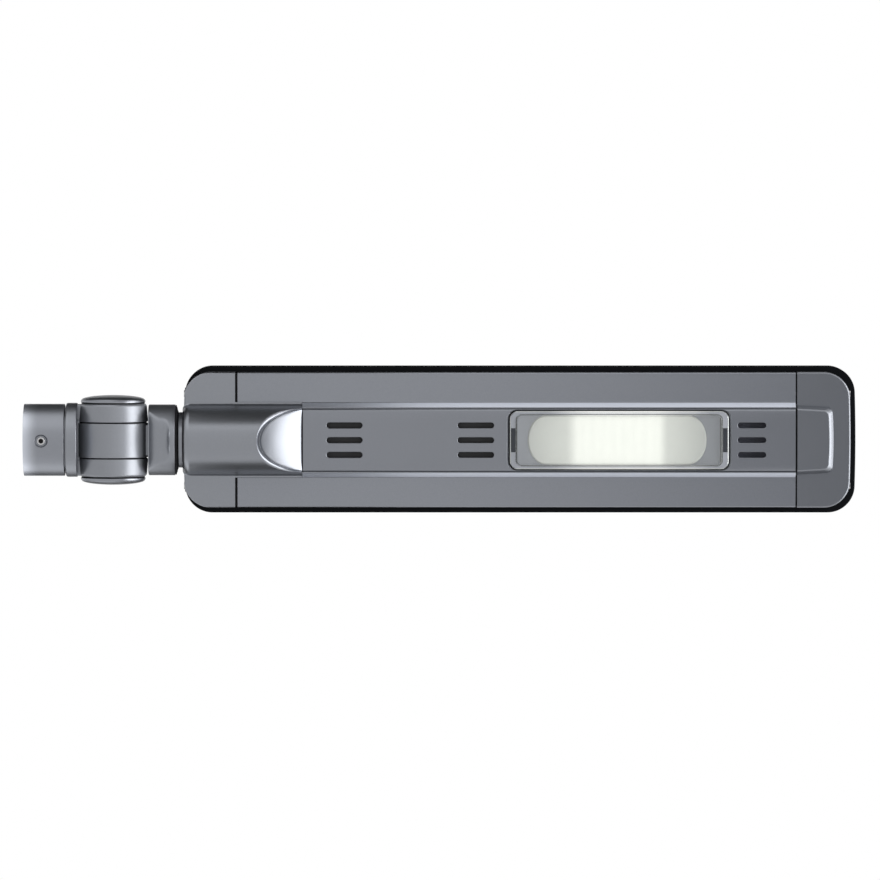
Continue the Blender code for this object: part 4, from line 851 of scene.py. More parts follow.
# Silver paints: colour, its tone, scale of the orange peel, roughness, share of metal
PAINTS = {
    "sleeve_paint": ("paint", 1.00, 900.0, 0.34, 0.96),
    "strip_paint": ("paint", 0.90, 900.0, 0.34, 0.96),
    "tray_paint": ("paint", 1.25, 900.0, 0.34, 0.96),
    "casting_paint": ("casting", 1.00, 650.0, 0.30, 0.96),
    # The front cap's paint is the casting paint at a lower tone: painted shade.
    "front_paint": ("casting", 0.81, 650.0, 0.34, 0.96),
    "hinge_paint": ("casting", 1.00, 650.0, 0.36, 0.96),
    "knuckle_paint": ("casting", 1.00, 650.0, 0.35, 0.68),
}
# Plastics with a fine mould texture: tone of the black plastic, gloss
PLASTICS = {"textured_black": (1.0, 0.05), "clip_grey": (9.0, 0.3)}
# Skins with one kind of grain: colour, scale, detail and stretch of the grain, range in which it
# shows, its two tones, metallic, roughness and its spread, strength and depth of the bump
SKINS = {
    # The set screws' hexagon sockets, painted near black: painted shade.
    "dark_steel": ("steel", 900.0, 3.0, (1.0, 1.0, 1.0), (0.55, 0.8), (0.03, 0.12),
                   1.0, (0.30, 0.15), (0.10, FINE_BUMP)),
    "sintered_bronze": ("bronze", 2600.0, 3.0, (1.0, 1.0, 1.0), (0.3, 0.7), (0.72, 1.1),
                        1.0, (0.36, 0.12), (0.15, FINE_BUMP)),
    "mill_aluminium": ("aluminium", 700.0, 3.0, (0.02, 1.0, 1.0), None, (0.85, 1.08),
                       1.0, (0.28, 0.16), (0.08, FINE_BUMP)),
    "battery_wrap": ("battery", 240.0, 3.0, (0.25, 1.0, 1.0), None, (0.8, 1.2),
                     0.0, (0.30, 0.2), (0.12, 0.0004)),
    "lead_insulation": ("lead", 800.0, 2.0, (0.2, 1.0, 1.0), None, (0.85, 1.1),
                        0.0, (0.38, 0.14), (0.05, FINE_BUMP)),
}


def metal_paint(name, colours, painted_highlight=None):
    """Silver paint with metal flakes. painted_highlight makes a mask of where a highlight is
    painted into the coat.
    """
    colour_name, tone, grain, sheen, flake = PAINTS[name]
    colour = shaded(getattr(colours, colour_name), tone)
    coat = new_finish(name)
    flakes = coat.noise(FLAKE_SCALE, 2.0)
    clouds = coat.noise(11.0, 3.0)
    speckle = coat.rise(flakes, *FLAKE_RANGE) * 0.7 + clouds * 0.3
    base = coat.blend(speckle, shaded(colour, 0.90), shaded(colour, 1.10))
    # Painted highlight: where the mask is, the coat is painted up to 2.9 times as bright.
    if painted_highlight:
        base = coat.blend(painted_highlight(coat), base, shaded(colour, 2.9))
    peel = coat.noise(grain, 3.0)
    return coat.surface(base_color=base, metallic=flake,
                        roughness=sheen + flakes * 0.06 + clouds * 0.03,
                        normal=coat.bump(peel, 0.05, 0.0003))


def sleeve_paint(name, colours):
    """Silver paint with a painted highlight that brightens it towards the sleeve's mouth."""
    def mouth(coat):
        x, y, z = coat.axes()
        # The painted highlight fades out along X from the sleeve's mouth.
        return 1 - coat.rise(x, -0.0100, 0.0160)
    return metal_paint(name, colours, mouth)


def profile_paint(name, colours):
    """Extruded profile: a painted highlight that lightens the slopes along the rails, and faint die
    lines.
    """
    coat = new_finish(name)
    x, y, z = coat.axes()
    flakes = coat.noise(FLAKE_SCALE, 2.0)
    lines = coat.noise(420.0, 2.0, (0.01, 1.0, 1.0))
    base = coat.blend(coat.rise(flakes, *FLAKE_RANGE),
                      shaded(colours.paint, 0.91), shaded(colours.paint, 1.09))
    # Painted highlight: the slopes along the rails are painted 2.7 times as light.
    slope = coat.rise(z * -1.0, 0.0030, 0.0036) * coat.rise(z, -0.0086, -0.0081)
    base = coat.blend(slope, base, shaded(colours.paint, 2.7))
    return coat.surface(base_color=base, metallic=0.96,
                        roughness=0.33 + flakes * 0.05 + lines * 0.06,
                        normal=coat.bump(lines, 0.06, FINE_BUMP))


def plastic(name, colours):
    tone, gloss = PLASTICS[name]
    colour = shaded(colours.black_plastic, tone)
    skin = new_finish(name)
    grain = skin.noise(1900.0, 2.0)
    clouds = skin.noise(18.0, 3.0)
    base = skin.blend(clouds, shaded(colour, 0.8), shaded(colour, 1.25))
    return skin.surface(base_color=base, roughness=0.40 + clouds * 0.12, specular_ior_level=gloss,
                        normal=skin.bump(grain, 0.10, FINE_BUMP))


def grained(name, colours):
    colour_name, scale, detail, stretch, shows, tones, metal, rough, relief = SKINS[name]
    colour = getattr(colours, colour_name)
    skin = new_finish(name)
    grain = skin.noise(scale, detail, stretch)
    mask = skin.rise(grain, *shows) if shows else grain
    base = skin.blend(mask, *(shaded(colour, tone) for tone in tones))
    return skin.surface(base_color=base, metallic=metal, roughness=rough[0] + grain * rough[1],
                        normal=skin.bump(grain, *relief))


def zinc_plate(name, colours):
    """Zinc plate with its spangle, rubbed along the thread."""
    plate = new_finish(name)
    spangle = plate.node("ShaderNodeTexVoronoi",
                         sockets={"Vector": plate.place(), "Scale": 700.0})
    rub = plate.noise(1500.0, 3.0, (1.0, 1.0, 0.15))
    base = plate.blend(spangle, shaded(colours.steel, 0.82), shaded(colours.steel, 1.12))
    return plate.surface(base_color=base, metallic=1.0, roughness=0.26 + rub * 0.16,
                         normal=plate.bump(rub, 0.08, FINE_BUMP))


def seal_rubber(name, colours):
    """Black rubber with a faint bloom."""
    skin = new_finish(name)
    bloom = skin.noise(160.0, 4.0)
    grain = skin.noise(2400.0, 2.0)
    base = skin.blend(skin.rise(bloom, 0.45, 0.75), colours.rubber, shaded(colours.rubber, 1.9))
    return skin.surface(base_color=base, roughness=0.62 + bloom * 0.18, specular_ior_level=0.15,
                        normal=skin.bump(grain, 0.12, FINE_BUMP))


def clear_cover(name, colours):
    """Clear cover, told from the air by its gloss and its edges."""
    cover = new_finish(name)
    edge = cover.node("ShaderNodeLayerWeight", sockets={"Blend": 0.35}, output="Facing")
    haze = cover.noise(60.0, 3.0)
    base = cover.blend(haze, shaded(colours.clear, 0.94), colours.clear)
    return cover.surface(base_color=base, roughness=0.05 + haze * 0.06,
                         alpha=0.08 + haze * 0.03 + edge * 0.5, specular_ior_level=0.6)


def painted_edge_glow(edge, level, colours):
    """A painted glow that stands in for the diodes' light sent out through the long edges of the
    clear cover.
    """
    x, y, z = edge.axes()
    rear = edge.rise(x, 0.5180, 0.5700)
    front = (1 - edge.rise(x, 0.6300, 0.6620) * 0.55) * (1 - edge.rise(x, 0.6640, 0.6900))
    # Painted light: the glow is painted brighter on the -Y side.
    painted_brighter_side = (y < 0.0) * 0.35 + 0.65
    return edge.blend(rear * front * painted_brighter_side * level, BLACK, colours.glow)


def frosted_rim(name, colours):
    """Moulded edges of the clear cover, with a painted glow in them."""
    rim = new_finish(name)
    grain = rim.noise(1400.0, 2.0)
    base = rim.blend(grain, shaded(colours.clear, 0.52), shaded(colours.clear, 0.68))
    return rim.surface(base_color=base, metallic=0.75, roughness=0.18 + grain * 0.10,
                       alpha=0.86 + grain * 0.10,
                       emission_color=painted_edge_glow(rim, 0.56 + grain * 0.12, colours),
                       emission_strength=1.0)


def smoked_flange(name, colours):
    """Flange of the clear cover, which takes on the grey of the metal round it, with a painted
    glow.
    """
    flange = new_finish(name)
    haze = flange.noise(45.0, 3.0)
    base = flange.blend(haze, shaded(colours.paint, 1.35), shaded(colours.paint, 1.65))
    return flange.surface(base_color=base, roughness=0.16 + haze * 0.10, alpha=0.80 + haze * 0.08,
                          emission_color=painted_edge_glow(flange, 0.50 + haze * 0.10, colours),
                          emission_strength=1.0)


def opal_diffuser(name, colours):
    """Opal diffuser with a lit field, in which the columns of diodes just show."""
    opal = new_finish(name)
    x, y, z = opal.axes()
    field = opal.rise(x, 0.5410, 0.5560) * (1 - opal.rise(x, 0.6330, 0.6450))
    across = 1 - opal.rise(abs(y), 0.0190, 0.0255) * 0.35
    column = abs((x - LED_MIDDLE_X) / LED_PITCH % 1.0 - 0.5) * 2.0
    spill = opal.rise(x, 0.4850, 0.5500) * (1 - opal.rise(x, 0.6400, 0.6880))
    grain = opal.noise(420.0, 3.0)
    lit = field * (0.92 + column * 0.08) * across * 0.41 + spill * 0.23
    light = opal.blend(lit * (0.98 + grain * 0.04), BLACK, colours.glow)
    base = opal.blend(grain, shaded(colours.opal, 0.97), shaded(colours.opal, 1.03))
    return opal.surface(base_color=base, roughness=0.42 + grain * 0.08, emission_color=light,
                        emission_strength=1.0)


def diode_board(name, colours):
    """White board with faint tracks along it."""
    board = new_finish(name)
    x, y, z = board.axes()
    weave = board.noise(900.0, 2.0)
    track = (abs(y / 0.0070 % 1.0 - 0.5) < 0.06) * 0.35
    base = board.blend(track + weave * 0.1, colours.board, shaded(colours.board, 0.6))
    return board.surface(base_color=base, roughness=0.42 + weave * 0.12,
                         normal=board.bump(weave, 0.05, FINE_BUMP))


def controller_board(name, colours):
    """Blue-grey board with a net of tracks."""
    board = new_finish(name)
    net = board.node("ShaderNodeTexVoronoi", {"distance": 'MANHATTAN', "feature": 'F1'},
                     {"Vector": board.place(), "Scale": 190.0})
    tracks = abs(net % 0.24 - 0.12) < 0.03
    base = board.blend(tracks * 0.55, colours.controller, shaded(colours.controller, 2.2))
    weave = board.noise(1300.0, 2.0)
    return board.surface(base_color=base, roughness=0.34 + weave * 0.14,
                         normal=board.bump(weave, 0.06, FINE_BUMP))


def panel_glass(name, colours):
    """Dimpled glass with a little dust."""
    pane = new_finish(name)
    edge = pane.node("ShaderNodeLayerWeight", sockets={"Blend": 0.4}, output="Fresnel")
    dimples = pane.noise(520.0, 2.0)
    dust = pane.noise(25.0, 4.0)
    base = pane.blend(pane.rise(dust, 0.5, 0.8), colours.glass, shaded(colours.glass, 1.6))
    return pane.surface(base_color=base, roughness=0.06 + dust * 0.06,
                        alpha=0.22 + edge * 0.5 + dust * 0.04, specular_ior_level=0.7,
                        normal=pane.bump(dimples, 0.02, FINE_BUMP))


def solar_cells(name, colours):
    """Solar cells: fine fingers along, three busbars across, and the dark sheet in the gaps."""
    sizes = bpy.context.scene.lamp_sizes
    face = new_finish(name)
    x, y, z = face.axes()
    first = FRAME_MIDDLE - sizes.cell_pitch * sizes.cell_count / 2
    along = abs((x - first) / sizes.cell_pitch % 1.0 - 0.5)
    half_gap = sizes.cell_gap / sizes.cell_pitch / 2
    on_cell = (along < 0.5 - half_gap) * (abs(y) < CELL_HALF_WIDTH)
    fingers = (abs(y / 0.0019 % 1.0 - 0.5) < 0.07) * 0.30
    bars = abs((x - first) / (sizes.cell_pitch / 3) % 1.0 - 0.5) < 0.055
    crystal = face.noise(35.0, 3.0)
    silicon = face.blend(crystal, shaded(colours.cell, 0.75), shaded(colours.cell, 1.35))
    printed = face.blend(fingers, silicon, colours.busbar)
    printed = face.blend(bars * 0.85, printed, colours.busbar)
    base = face.blend(on_cell, colours.back_sheet, printed)
    return face.surface(base_color=base, metallic=bars * on_cell * 0.8,
                        roughness=0.22 + crystal * 0.08)


MAKERS = {
    **dict.fromkeys(PAINTS, metal_paint), **dict.fromkeys(PLASTICS, plastic),
    **dict.fromkeys(SKINS, grained),
    **{maker.__name__: maker for maker in (
        sleeve_paint, profile_paint, zinc_plate, seal_rubber, clear_cover, frosted_rim,
        smoked_flange, opal_diffuser, diode_board, controller_board, panel_glass, solar_cells)},
}


def finish(name):
    """The finish of that name, made at its first use."""
    made = bpy.data.materials.get(f"lamp_{name}")
    return made or MAKERS[name](name, bpy.context.scene.lamp_colours)


# Pole bracket

def set_screw():
    """A set screw with a chamfered head and a hexagon socket, about X."""
    body = turned([(SET_SCREW_TIP, 0.0), (SET_SCREW_TIP, SET_SCREW_RADIUS, SET_SCREW_TIP_EDGE),
                   (SET_SCREW_HEAD, SET_SCREW_RADIUS, SET_SCREW_HEAD_EDGE),
                   (SET_SCREW_HEAD, 0.0)], SMALL_ROUND)
    socket = prisms(at_x, [hexagon(SET_SCREW_FLATS)], SET_SCREW_HEAD - SET_SCREW_SOCKET,
                    SET_SCREW_HEAD + CLEAR)
    return worked(body, ('DIFFERENCE', socket))


def in_screw_socket(face):
    x, y, z = face.center
    near_axis = sqrt((x - SET_SCREW_X) ** 2 + y * y) < 0.6 * SET_SCREW_FLATS
    return near_axis and abs(z) < SET_SCREW_HEAD - GAP


class LAMP_OT_pole_sleeve(bpy.types.Operator):
    """Make the sleeve that slips over the pole, with its two set screws in their countersinks."""
    bl_idname = "lamp.pole_sleeve"
    bl_label = "Pole sleeve and set screws"

    def execute(self, context):
        sizes = context.scene.lamp_sizes
        end, radius = sizes.sleeve_length, sizes.sleeve_radius
        tube = turned([(0.0, SLEEVE_BORE, SLEEVE_MOUTH_EDGE), (0.0, radius, SLEEVE_MOUTH_EDGE),
                       (end, radius, SLEEVE_END_EDGE), (end, SLEEVE_BORE)], FINE_ROUND)
        hole, inside = SET_SCREW_RADIUS + GAP, SLEEVE_BORE - 2 * CLEAR
        seat = [(inside, 0.0), (inside, hole), (SEAT_FLOOR, hole),
                (SEAT_FLOOR, hole + SEAT_FLOOR_WIDTH), (radius + GAP, sizes.seat_radius),
                (radius + GAP, 0.0)]
        at = (SET_SCREW_X, 0.0, 0.0)
        sides = {"top": ALONG_Z, "bottom": ALONG_MINUS_Z}
        sleeve = worked(tube, *(('DIFFERENCE', turned(seat, SMALL_ROUND, turn, at))
                                for turn in sides.values()))
        show("sleeve", sleeve, "sleeve_paint", "silver_paint", "pole_bracket", "pole_sleeve")
        for name, turn in sides.items():
            screw = set_screw()
            bmesh.ops.transform(screw, matrix=Matrix.Translation(at) @ turn, verts=screw.verts)
            made = show(f"set_screw_{name}", screw, "zinc_plate", "zinc_steel", "pole_bracket",
                        f"sleeve_screw_{name}")
            # The faces inside the hexagon socket are painted near black: painted shade in the
            # socket.
            paint_faces(made, "dark_steel", in_screw_socket)
        return {'FINISHED'}


def hinge_fork(sizes, groove_radius):
    """The collar with its plug and the two outer knuckles, cut free for the neck and the bolt."""
    start = low_corner("hinge_fork").x
    collar = turned([
        (start, 0.0), (start, PLUG_RADIUS, PLUG_EDGE), (COLLAR_START, PLUG_RADIUS),
        (COLLAR_START, sizes.collar_radius, COLLAR_REAR_EDGE),
        (COLLAR_END, sizes.collar_radius, COLLAR_FRONT_EDGE), (COLLAR_END, 0.0)], FINE_ROUND)
    groove_floor = EAR_INNER - EAR_GROOVE_DEPTH
    ear = [(EAR_INNER, 0.0), (EAR_INNER, EAR_GROOVE_BORE), (groove_floor, EAR_GROOVE_BORE),
           (groove_floor, groove_radius), (EAR_INNER, groove_radius),
           (EAR_INNER, sizes.ear_radius, KNUCKLE_EDGE), (EAR_OUTER, EAR_END_RADIUS, EAR_END_EDGE),
           (EAR_OUTER, 0.0)]
    reach = EAR_OUTER + OVERSHOOT
    inset = OVERSHOOT / 4
    joins, pockets = [], []
    for sign, turn in ((1, ALONG_Y), (-1, ALONG_MINUS_Y)):
        joins.append(('UNION', turned(ear, FINE_ROUND, turn, HINGE)))
        near, far = sorted((sign * (EAR_INNER + inset), sign * (EAR_OUTER - inset)))
        web = eased([(y, z, WEB_EDGE) for y, z in (
            (near, -WEB_HALF_HEIGHT), (far, -WEB_HALF_HEIGHT),
            (far, WEB_HALF_HEIGHT), (near, WEB_HALF_HEIGHT))])
        joins.append(('UNION', prisms(at_x, [web], COLLAR_END - 2 * OVERSHOOT, HINGE_X)))
        pockets.append(('DIFFERENCE', cylinder(POCKET_FLOOR, reach, POCKET_RADIUS, POCKET_ROUND,
                                               turn, HINGE)))
    cradle = EAR_INNER + CRADLE_OVERLAP
    joins.append(('UNION', boxes(((COLLAR_END - OVERSHOOT, -cradle, -WEB_HALF_HEIGHT),
                                  (CRADLE_END, cradle, WEB_HALF_HEIGHT)))))
    bolt_hole = cylinder(-reach, reach, BOLT_HOLE_RADIUS, SMALL_ROUND, ALONG_Y, HINGE)
    half_slot = LUG_HALF_WIDTH + GAP / 2
    slot = cylinder(-half_slot, half_slot, sizes.lug_radius + GAP, FINE_ROUND, ALONG_Y, HINGE)
    return worked(collar, *joins, ('DIFFERENCE', bolt_hole), *pockets, ('DIFFERENCE', slot))


def hinge_cap(sizes, sign, turn):
    """A domed cap on an inset foot, with the plug that holds it in the knuckle."""
    dome = arc((CAP_RIM, 0.0), sizes.cap_height - CAP_RIM, CAP_DOME_RADIUS, pi / 2, 0.0,
               CAP_DOME_STEPS)[:-1]
    radius, foot = sizes.cap_radius, sizes.cap_radius - CAP_FOOT_INSET
    bore = CAP_PLUG_RADIUS - CAP_WALL
    return turned([
        (0.0, 0.0), (0.0, bore), (-CAP_PLUG_DEPTH, bore),
        (-CAP_PLUG_DEPTH, CAP_PLUG_RADIUS, CAP_PLUG_EDGE), (0.0, CAP_PLUG_RADIUS), (0.0, foot),
        (CAP_FOOT_LENGTH, foot), (CAP_FOOT_LENGTH, radius, CAP_FOOT_EDGE), (CAP_RIM, radius, CAP_RIM_EDGE),
        *dome, (sizes.cap_height, 0.0)],
        FINE_ROUND, turn, (HINGE_X, sign * (EAR_OUTER + GAP), 0.0))


class LAMP_OT_hinge(bpy.types.Operator):
    """Make the collar with the two outer knuckles, and the domed caps over the hinge bolt."""
    bl_idname = "lamp.hinge"
    bl_label = "Hinge fork and caps"

    def execute(self, context):
        sizes = context.scene.lamp_sizes
        groove_radius = sizes.ear_radius - EAR_GROOVE_INSET

        def on_knuckle(face):
            return COLLAR_END < face.center.x < HINGE_X + sizes.ear_radius

        def in_groove(face):
            x, y, z = face.center
            on_wall = abs(sqrt((x - HINGE_X) ** 2 + z * z) - groove_radius) < GAP
            return on_wall and 0.0 < EAR_INNER - abs(y) < EAR_GROOVE_DEPTH + GAP / 3

        def on_shaded_foot(face):
            return 0.0 < abs(face.center.y) - EAR_OUTER - GAP < 0.9 * CAP_FOOT_LENGTH

        fork = show("fork", hinge_fork(sizes, groove_radius), "hinge_paint", "cast_silver",
                    "pole_bracket", "hinge_fork")
        paint_faces(fork, "knuckle_paint", on_knuckle)
        # The outer wall of each knuckle's groove is painted black rubber: painted shade that
        # darkens the gap line.
        paint_faces(fork, "seal_rubber", in_groove)
        for side, sign, turn in (("left", 1, ALONG_Y), ("right", -1, ALONG_MINUS_Y)):
            cap = show(f"cap_{side}", hinge_cap(sizes, sign, turn), "casting_paint", "cast_silver",
                       "pole_bracket", f"hinge_cap_{side}")
            # The cap's inset foot is painted black rubber: painted shade in the seam between cap
            # and knuckle.
            paint_faces(cap, "seal_rubber", on_shaded_foot)
        return {'FINISHED'}


# Neck

def barrel_section(radius, flat):
    """A round section planed to a flat above and below."""
    points = []
    for i in range(BARREL_ROUND):
        angle = 2 * pi * i / BARREL_ROUND
        upright = abs(cos(angle))
        rho = radius
        if upright * radius * 2 > flat:
            rho = eased_min(radius, flat / upright, NECK_FLAT_EASE)
        points.append((rho * sin(angle), -rho * cos(angle)))
    return points


def knuckle(sizes):
    """The middle knuckle, with the fine ridge of the mould's parting."""
    radius, width = sizes.lug_radius, LUG_HALF_WIDTH
    return turned([
        (-width, LUG_BORE, LUG_BORE_EDGE), (-width, radius, KNUCKLE_EDGE),
        (PARTING_Y - PARTING_FOOT, radius), (PARTING_Y - PARTING_TOP, radius + PARTING_RIDGE),
        (PARTING_Y + PARTING_TOP, radius + PARTING_RIDGE), (PARTING_Y + PARTING_FOOT, radius),
        (width, radius, KNUCKLE_EDGE), (width, LUG_BORE, LUG_BORE_EDGE)],
        FINE_ROUND, ALONG_Y, HINGE)


def barrel(sizes):
    """The neck's barrel: a saddle that falls to a waist behind the knuckle, and a round lip."""
    full = 2 * sizes.neck_radius
    soft = EDGE_SHARE * NECK_EDGE
    waist_end, saddle_end = NECK_START + NECK_EDGE, NECK_FILLET_END - NECK_FILLET
    stations = [(NECK_START, NECK_EDGE, NECK_WAIST), (NECK_START + soft, soft, NECK_WAIST)]
    for i in range(FILLET_STEPS):
        left = 1 - i / FILLET_STEPS
        stations.append((saddle_end + (waist_end - saddle_end) * left, 0.0,
                         NECK_FLAT - (NECK_FLAT - NECK_WAIST) * left * left))
    for i in range(FILLET_STEPS + 1):
        along = NECK_FILLET * sin(i * pi / 2 / FILLET_STEPS)
        rise = NECK_FILLET - sqrt(max(NECK_FILLET ** 2 - along ** 2, 0.0))
        stations.append((saddle_end + along, 0.0, NECK_FLAT + rise))
    stations += [(NECK_FILLET_END + run, 0.0, flat) for run, flat in NECK_LIP]
    stations += [(NECK_FILLET_END + NECK_LIP_LENGTH, 0.0, full), (NECK_END - NECK_EDGE, 0.0, full),
                 (NECK_END - soft, soft, full), (NECK_END, NECK_EDGE, full)]
    return loft([at_x(x, barrel_section(sizes.neck_radius - inset, flat))
                 for x, inset, flat in stations])


def swivel_seal(sizes):
    """The seal's profile: ribs that step down towards the arm socket."""
    bore = PIVOT_RADIUS + GAP
    start, outer = NECK_END + GAP, sizes.neck_radius - NECK_EDGE / 2
    step = (SEAL_END - start) / SEAL_RIBS
    drop = (outer - SEAL_TIP_RADIUS) / SEAL_RIBS
    profile = [(start, bore), (start, outer, SEAL_RIB_EDGE)]
    for i in range(1, SEAL_RIBS):
        x = start + i * step
        profile += [(x - SEAL_RIB_SLANT, outer - (i - 1) * drop, SEAL_RIB_EDGE),
                    (x, outer - i * drop, SEAL_RIB_SLANT)]
    profile += [(SEAL_END, SEAL_TIP_RADIUS + SEAL_TIP_DRAFT, SEAL_TIP_EDGE), (SEAL_END, bore)]
    return turned(profile, ROUND)


class LAMP_OT_neck(bpy.types.Operator):
    """Make the inner knuckle with its barrel and pivot, and the ribbed seal of the swivel."""
    bl_idname = "lamp.neck"
    bl_label = "Hinge neck and seal"

    def execute(self, context):
        sizes = context.scene.lamp_sizes
        web = boxes(((NECK_WEB_START, -NECK_WEB_HALF_WIDTH, -NECK_WEB_HALF_HEIGHT),
                     (NECK_START + OVERSHOOT, NECK_WEB_HALF_WIDTH, NECK_WEB_HALF_HEIGHT)))
        pivot = turned([
            (NECK_END - OVERSHOOT, 0.0), (NECK_END - OVERSHOOT, PIVOT_RADIUS),
            (PIVOT_SHOULDER, PIVOT_RADIUS), (PIVOT_SHOULDER, PIVOT_STUD_RADIUS),
            (PIVOT_END, PIVOT_STUD_RADIUS, PIVOT_EDGE), (PIVOT_END, 0.0)], SMALL_ROUND)
        neck = worked(knuckle(sizes), ('UNION', barrel(sizes)), ('UNION', web), ('UNION', pivot))
        made = show("neck", neck, "hinge_paint", "cast_silver", "tilt_neck", "hinge_neck")
        paint_faces(made, "knuckle_paint",
                    lambda face: 0.0 < face.center.x < NECK_START - GAP / 2)
        show("seal", swivel_seal(sizes), "seal_rubber", "black_rubber", "tilt_neck", "swivel_seal")
        return {'FINISHED'}


# End castings

def end_tray(sizes, start, end, rear_corner, front_corner):
    """The outside of an end casting, rounded along its lower edge and at its corners."""
    rear_bow = sizes.end_bow if rear_corner else 0.0
    front_bow = sizes.end_bow if front_corner else 0.0
    levels = [(inset, WING_Z + rise) for inset, rise in rounding(sizes.casting_edge, EDGE_STEPS)]
    rings = []
    for inset, z in levels + [(0.0, WALL_TOP_Z)]:
        rear = inset if rear_corner else 0.0
        front = inset if front_corner else 0.0
        rings.append(at_z(z, plan(
            start + rear, end - front, CAP_HALF_WIDTH - inset, max(rear_corner - inset, 0.0),
            max(front_corner - inset, 0.0), rear_bow, front_bow)))
    return loft(rings)


def end_cavity(sizes, start, end, rear_corner, front_corner):
    """The hollow of an end casting, open above and towards the body profile."""
    outline = plan(start, end, CAP_HALF_WIDTH - WALL, rear_corner, front_corner,
                   sizes.end_bow if rear_corner else 0.0, sizes.end_bow if front_corner else 0.0)
    return prisms(at_z, [outline], 0.0, WALL_TOP_Z + OVERSHOOT)


def end_screw_pads(face, inward):
    start, end = sorted((face + inward * WALL / 2, face + inward * END_SCREW_PAD_DEPTH))
    pad = circle(END_SCREW_PAD_RADIUS, PAD_ROUND)
    pads = [moved(pad, side * END_SCREW_Y, END_SCREW_Z) for side in (-1, 1)]
    return prisms(at_x, pads, start, end)


def end_screw_drills(face, inward):
    """Cutters for the two end screws, each with the seat of its head."""
    turn = ALONG_X if inward > 0 else ALONG_MINUS_X
    end = END_SCREW_PAD_DEPTH + OVERSHOOT
    profile = [(-OVERSHOOT, 0.0), (-OVERSHOOT, END_SCREW_HEAD_RADIUS),
               (END_SCREW_HEAD_DEPTH, END_SCREW_HEAD_RADIUS),
               (END_SCREW_HEAD_DEPTH, END_SCREW_HOLE_RADIUS), (end, END_SCREW_HOLE_RADIUS),
               (end, 0.0)]
    places = [(face, side * END_SCREW_Y, END_SCREW_Z) for side in (-1, 1)]
    return [('DIFFERENCE', turned(profile, DRILL_ROUND, turn, at)) for at in places]


def ramp_edge(y):
    """Where the step along the slope's horseshoe edge ends, past the slope's start."""
    bend = 1 - min(abs(y) / RAMP_HALF_WIDTH, RAMP_WIDEST) ** 2
    return RAMP_CURVE * y * y * bend ** RAMP_CURVE_POWER + RAMP_STEP_LENGTH


def ramp_depth(sizes, x, y, edge=RAMP_STEP_LENGTH, step_length=RAMP_STEP_LENGTH):
    """How far below the axis the slope lies: after a step at its edge it falls ever faster."""
    run = x - RAMP_START
    step = RAMP_STEP * min(1 + (run - edge) / step_length, 1.0)
    run = max(run, 0.0)
    crown = RAMP_CROWN * y * y * min((BOSS_END - x) / (BOSS_END - RAMP_CROWN_END), 1.0)
    return sizes.boss_depth - step - crown - run * (RAMP_SLOPE + RAMP_STEEPENING * run)


def boss_depth(sizes, x, y, depth):
    """The boss's depth where its round section would lie at depth: sloped, with a grooved edge."""
    edge = ramp_edge(y)
    side = min(abs(y) / RAMP_SIDE, 1.0)
    beyond = (x - RAMP_START - edge - RAMP_GROOVE_OFFSET) / RAMP_GROOVE_WIDTH
    groove = RAMP_GROOVE * exp(-beyond * beyond) * (1 - RAMP_GROOVE_FADE * side)
    step_length = RAMP_STEP_LENGTH + RAMP_SIDE_STEP_LENGTH * side * side
    slope = ramp_depth(sizes, x, y, edge, step_length)
    return eased_min(depth, slope - groove, RAMP_EDGE_EASE + RAMP_SIDE_EASE * side * side)


def boss_half_section(sizes):
    """The outside of the boss from its crown to its foot, as half width and depth."""
    crown, middle = sizes.boss_crown, sizes.boss_depth - sizes.boss_crown
    y, depth = crown * sin(BOSS_FLANK), middle + crown * cos(BOSS_FLANK)
    foot = BOSS_FOOT_FILLET * (1 - cos(BOSS_FLANK)) - BOSS_FOOT_Z
    foot_y = y + (depth - foot) / tan(BOSS_FLANK)
    outline = arc((0.0, middle), crown, crown, pi / 2, pi / 2 - BOSS_FLANK, BOSS_CROWN_STEPS)
    shares = [i / BOSS_FLANK_STEPS for i in range(1, BOSS_FLANK_STEPS)]
    flank = [(y + (foot_y - y) * share, depth + (foot - depth) * share) for share in shares]
    centre = (foot_y + BOSS_FOOT_FILLET * sin(BOSS_FLANK), BOSS_FOOT_FILLET - BOSS_FOOT_Z)
    fillet = arc(centre, BOSS_FOOT_FILLET, BOSS_FOOT_FILLET, -pi / 2 - BOSS_FLANK, -pi / 2,
                 BOSS_FLANK_STEPS)
    return outline + flank + fillet


def boss(sizes):
    """The boss, from its rounded rear end to the foot of its slope."""
    full_start = BOSS_START + BOSS_REAR_FILLET
    stations = []
    for i in range(FILLET_STEPS + 1):
        back = BOSS_REAR_FILLET * cos(i * pi / 2 / FILLET_STEPS)
        drawn_in = BOSS_REAR_FILLET - sqrt(max(BOSS_REAR_FILLET ** 2 - back ** 2, 0.0))
        stations.append((full_start - back, 1 - drawn_in / sizes.boss_depth))
    slope_start = RAMP_START - BOSS_SLOPE_LEAD
    for start, end, steps in ((full_start, slope_start, BOSS_PLAIN_STEPS),
                              (slope_start, BOSS_END, BOSS_SLOPE_STEPS)):
        stations += [(start + (end - start) * i / steps, 1.0) for i in range(1, steps + 1)]
    half = boss_half_section(sizes)
    rings = []
    for x, scale in stations:
        cut = [(y * scale, -boss_depth(sizes, x, y, depth * scale)) for y, depth in half]
        cut.append((cut[-1][0], BOSS_TOP_Z))
        rings.append(at_x(x, mirrored(cut, 1)))
    return loft(rings)


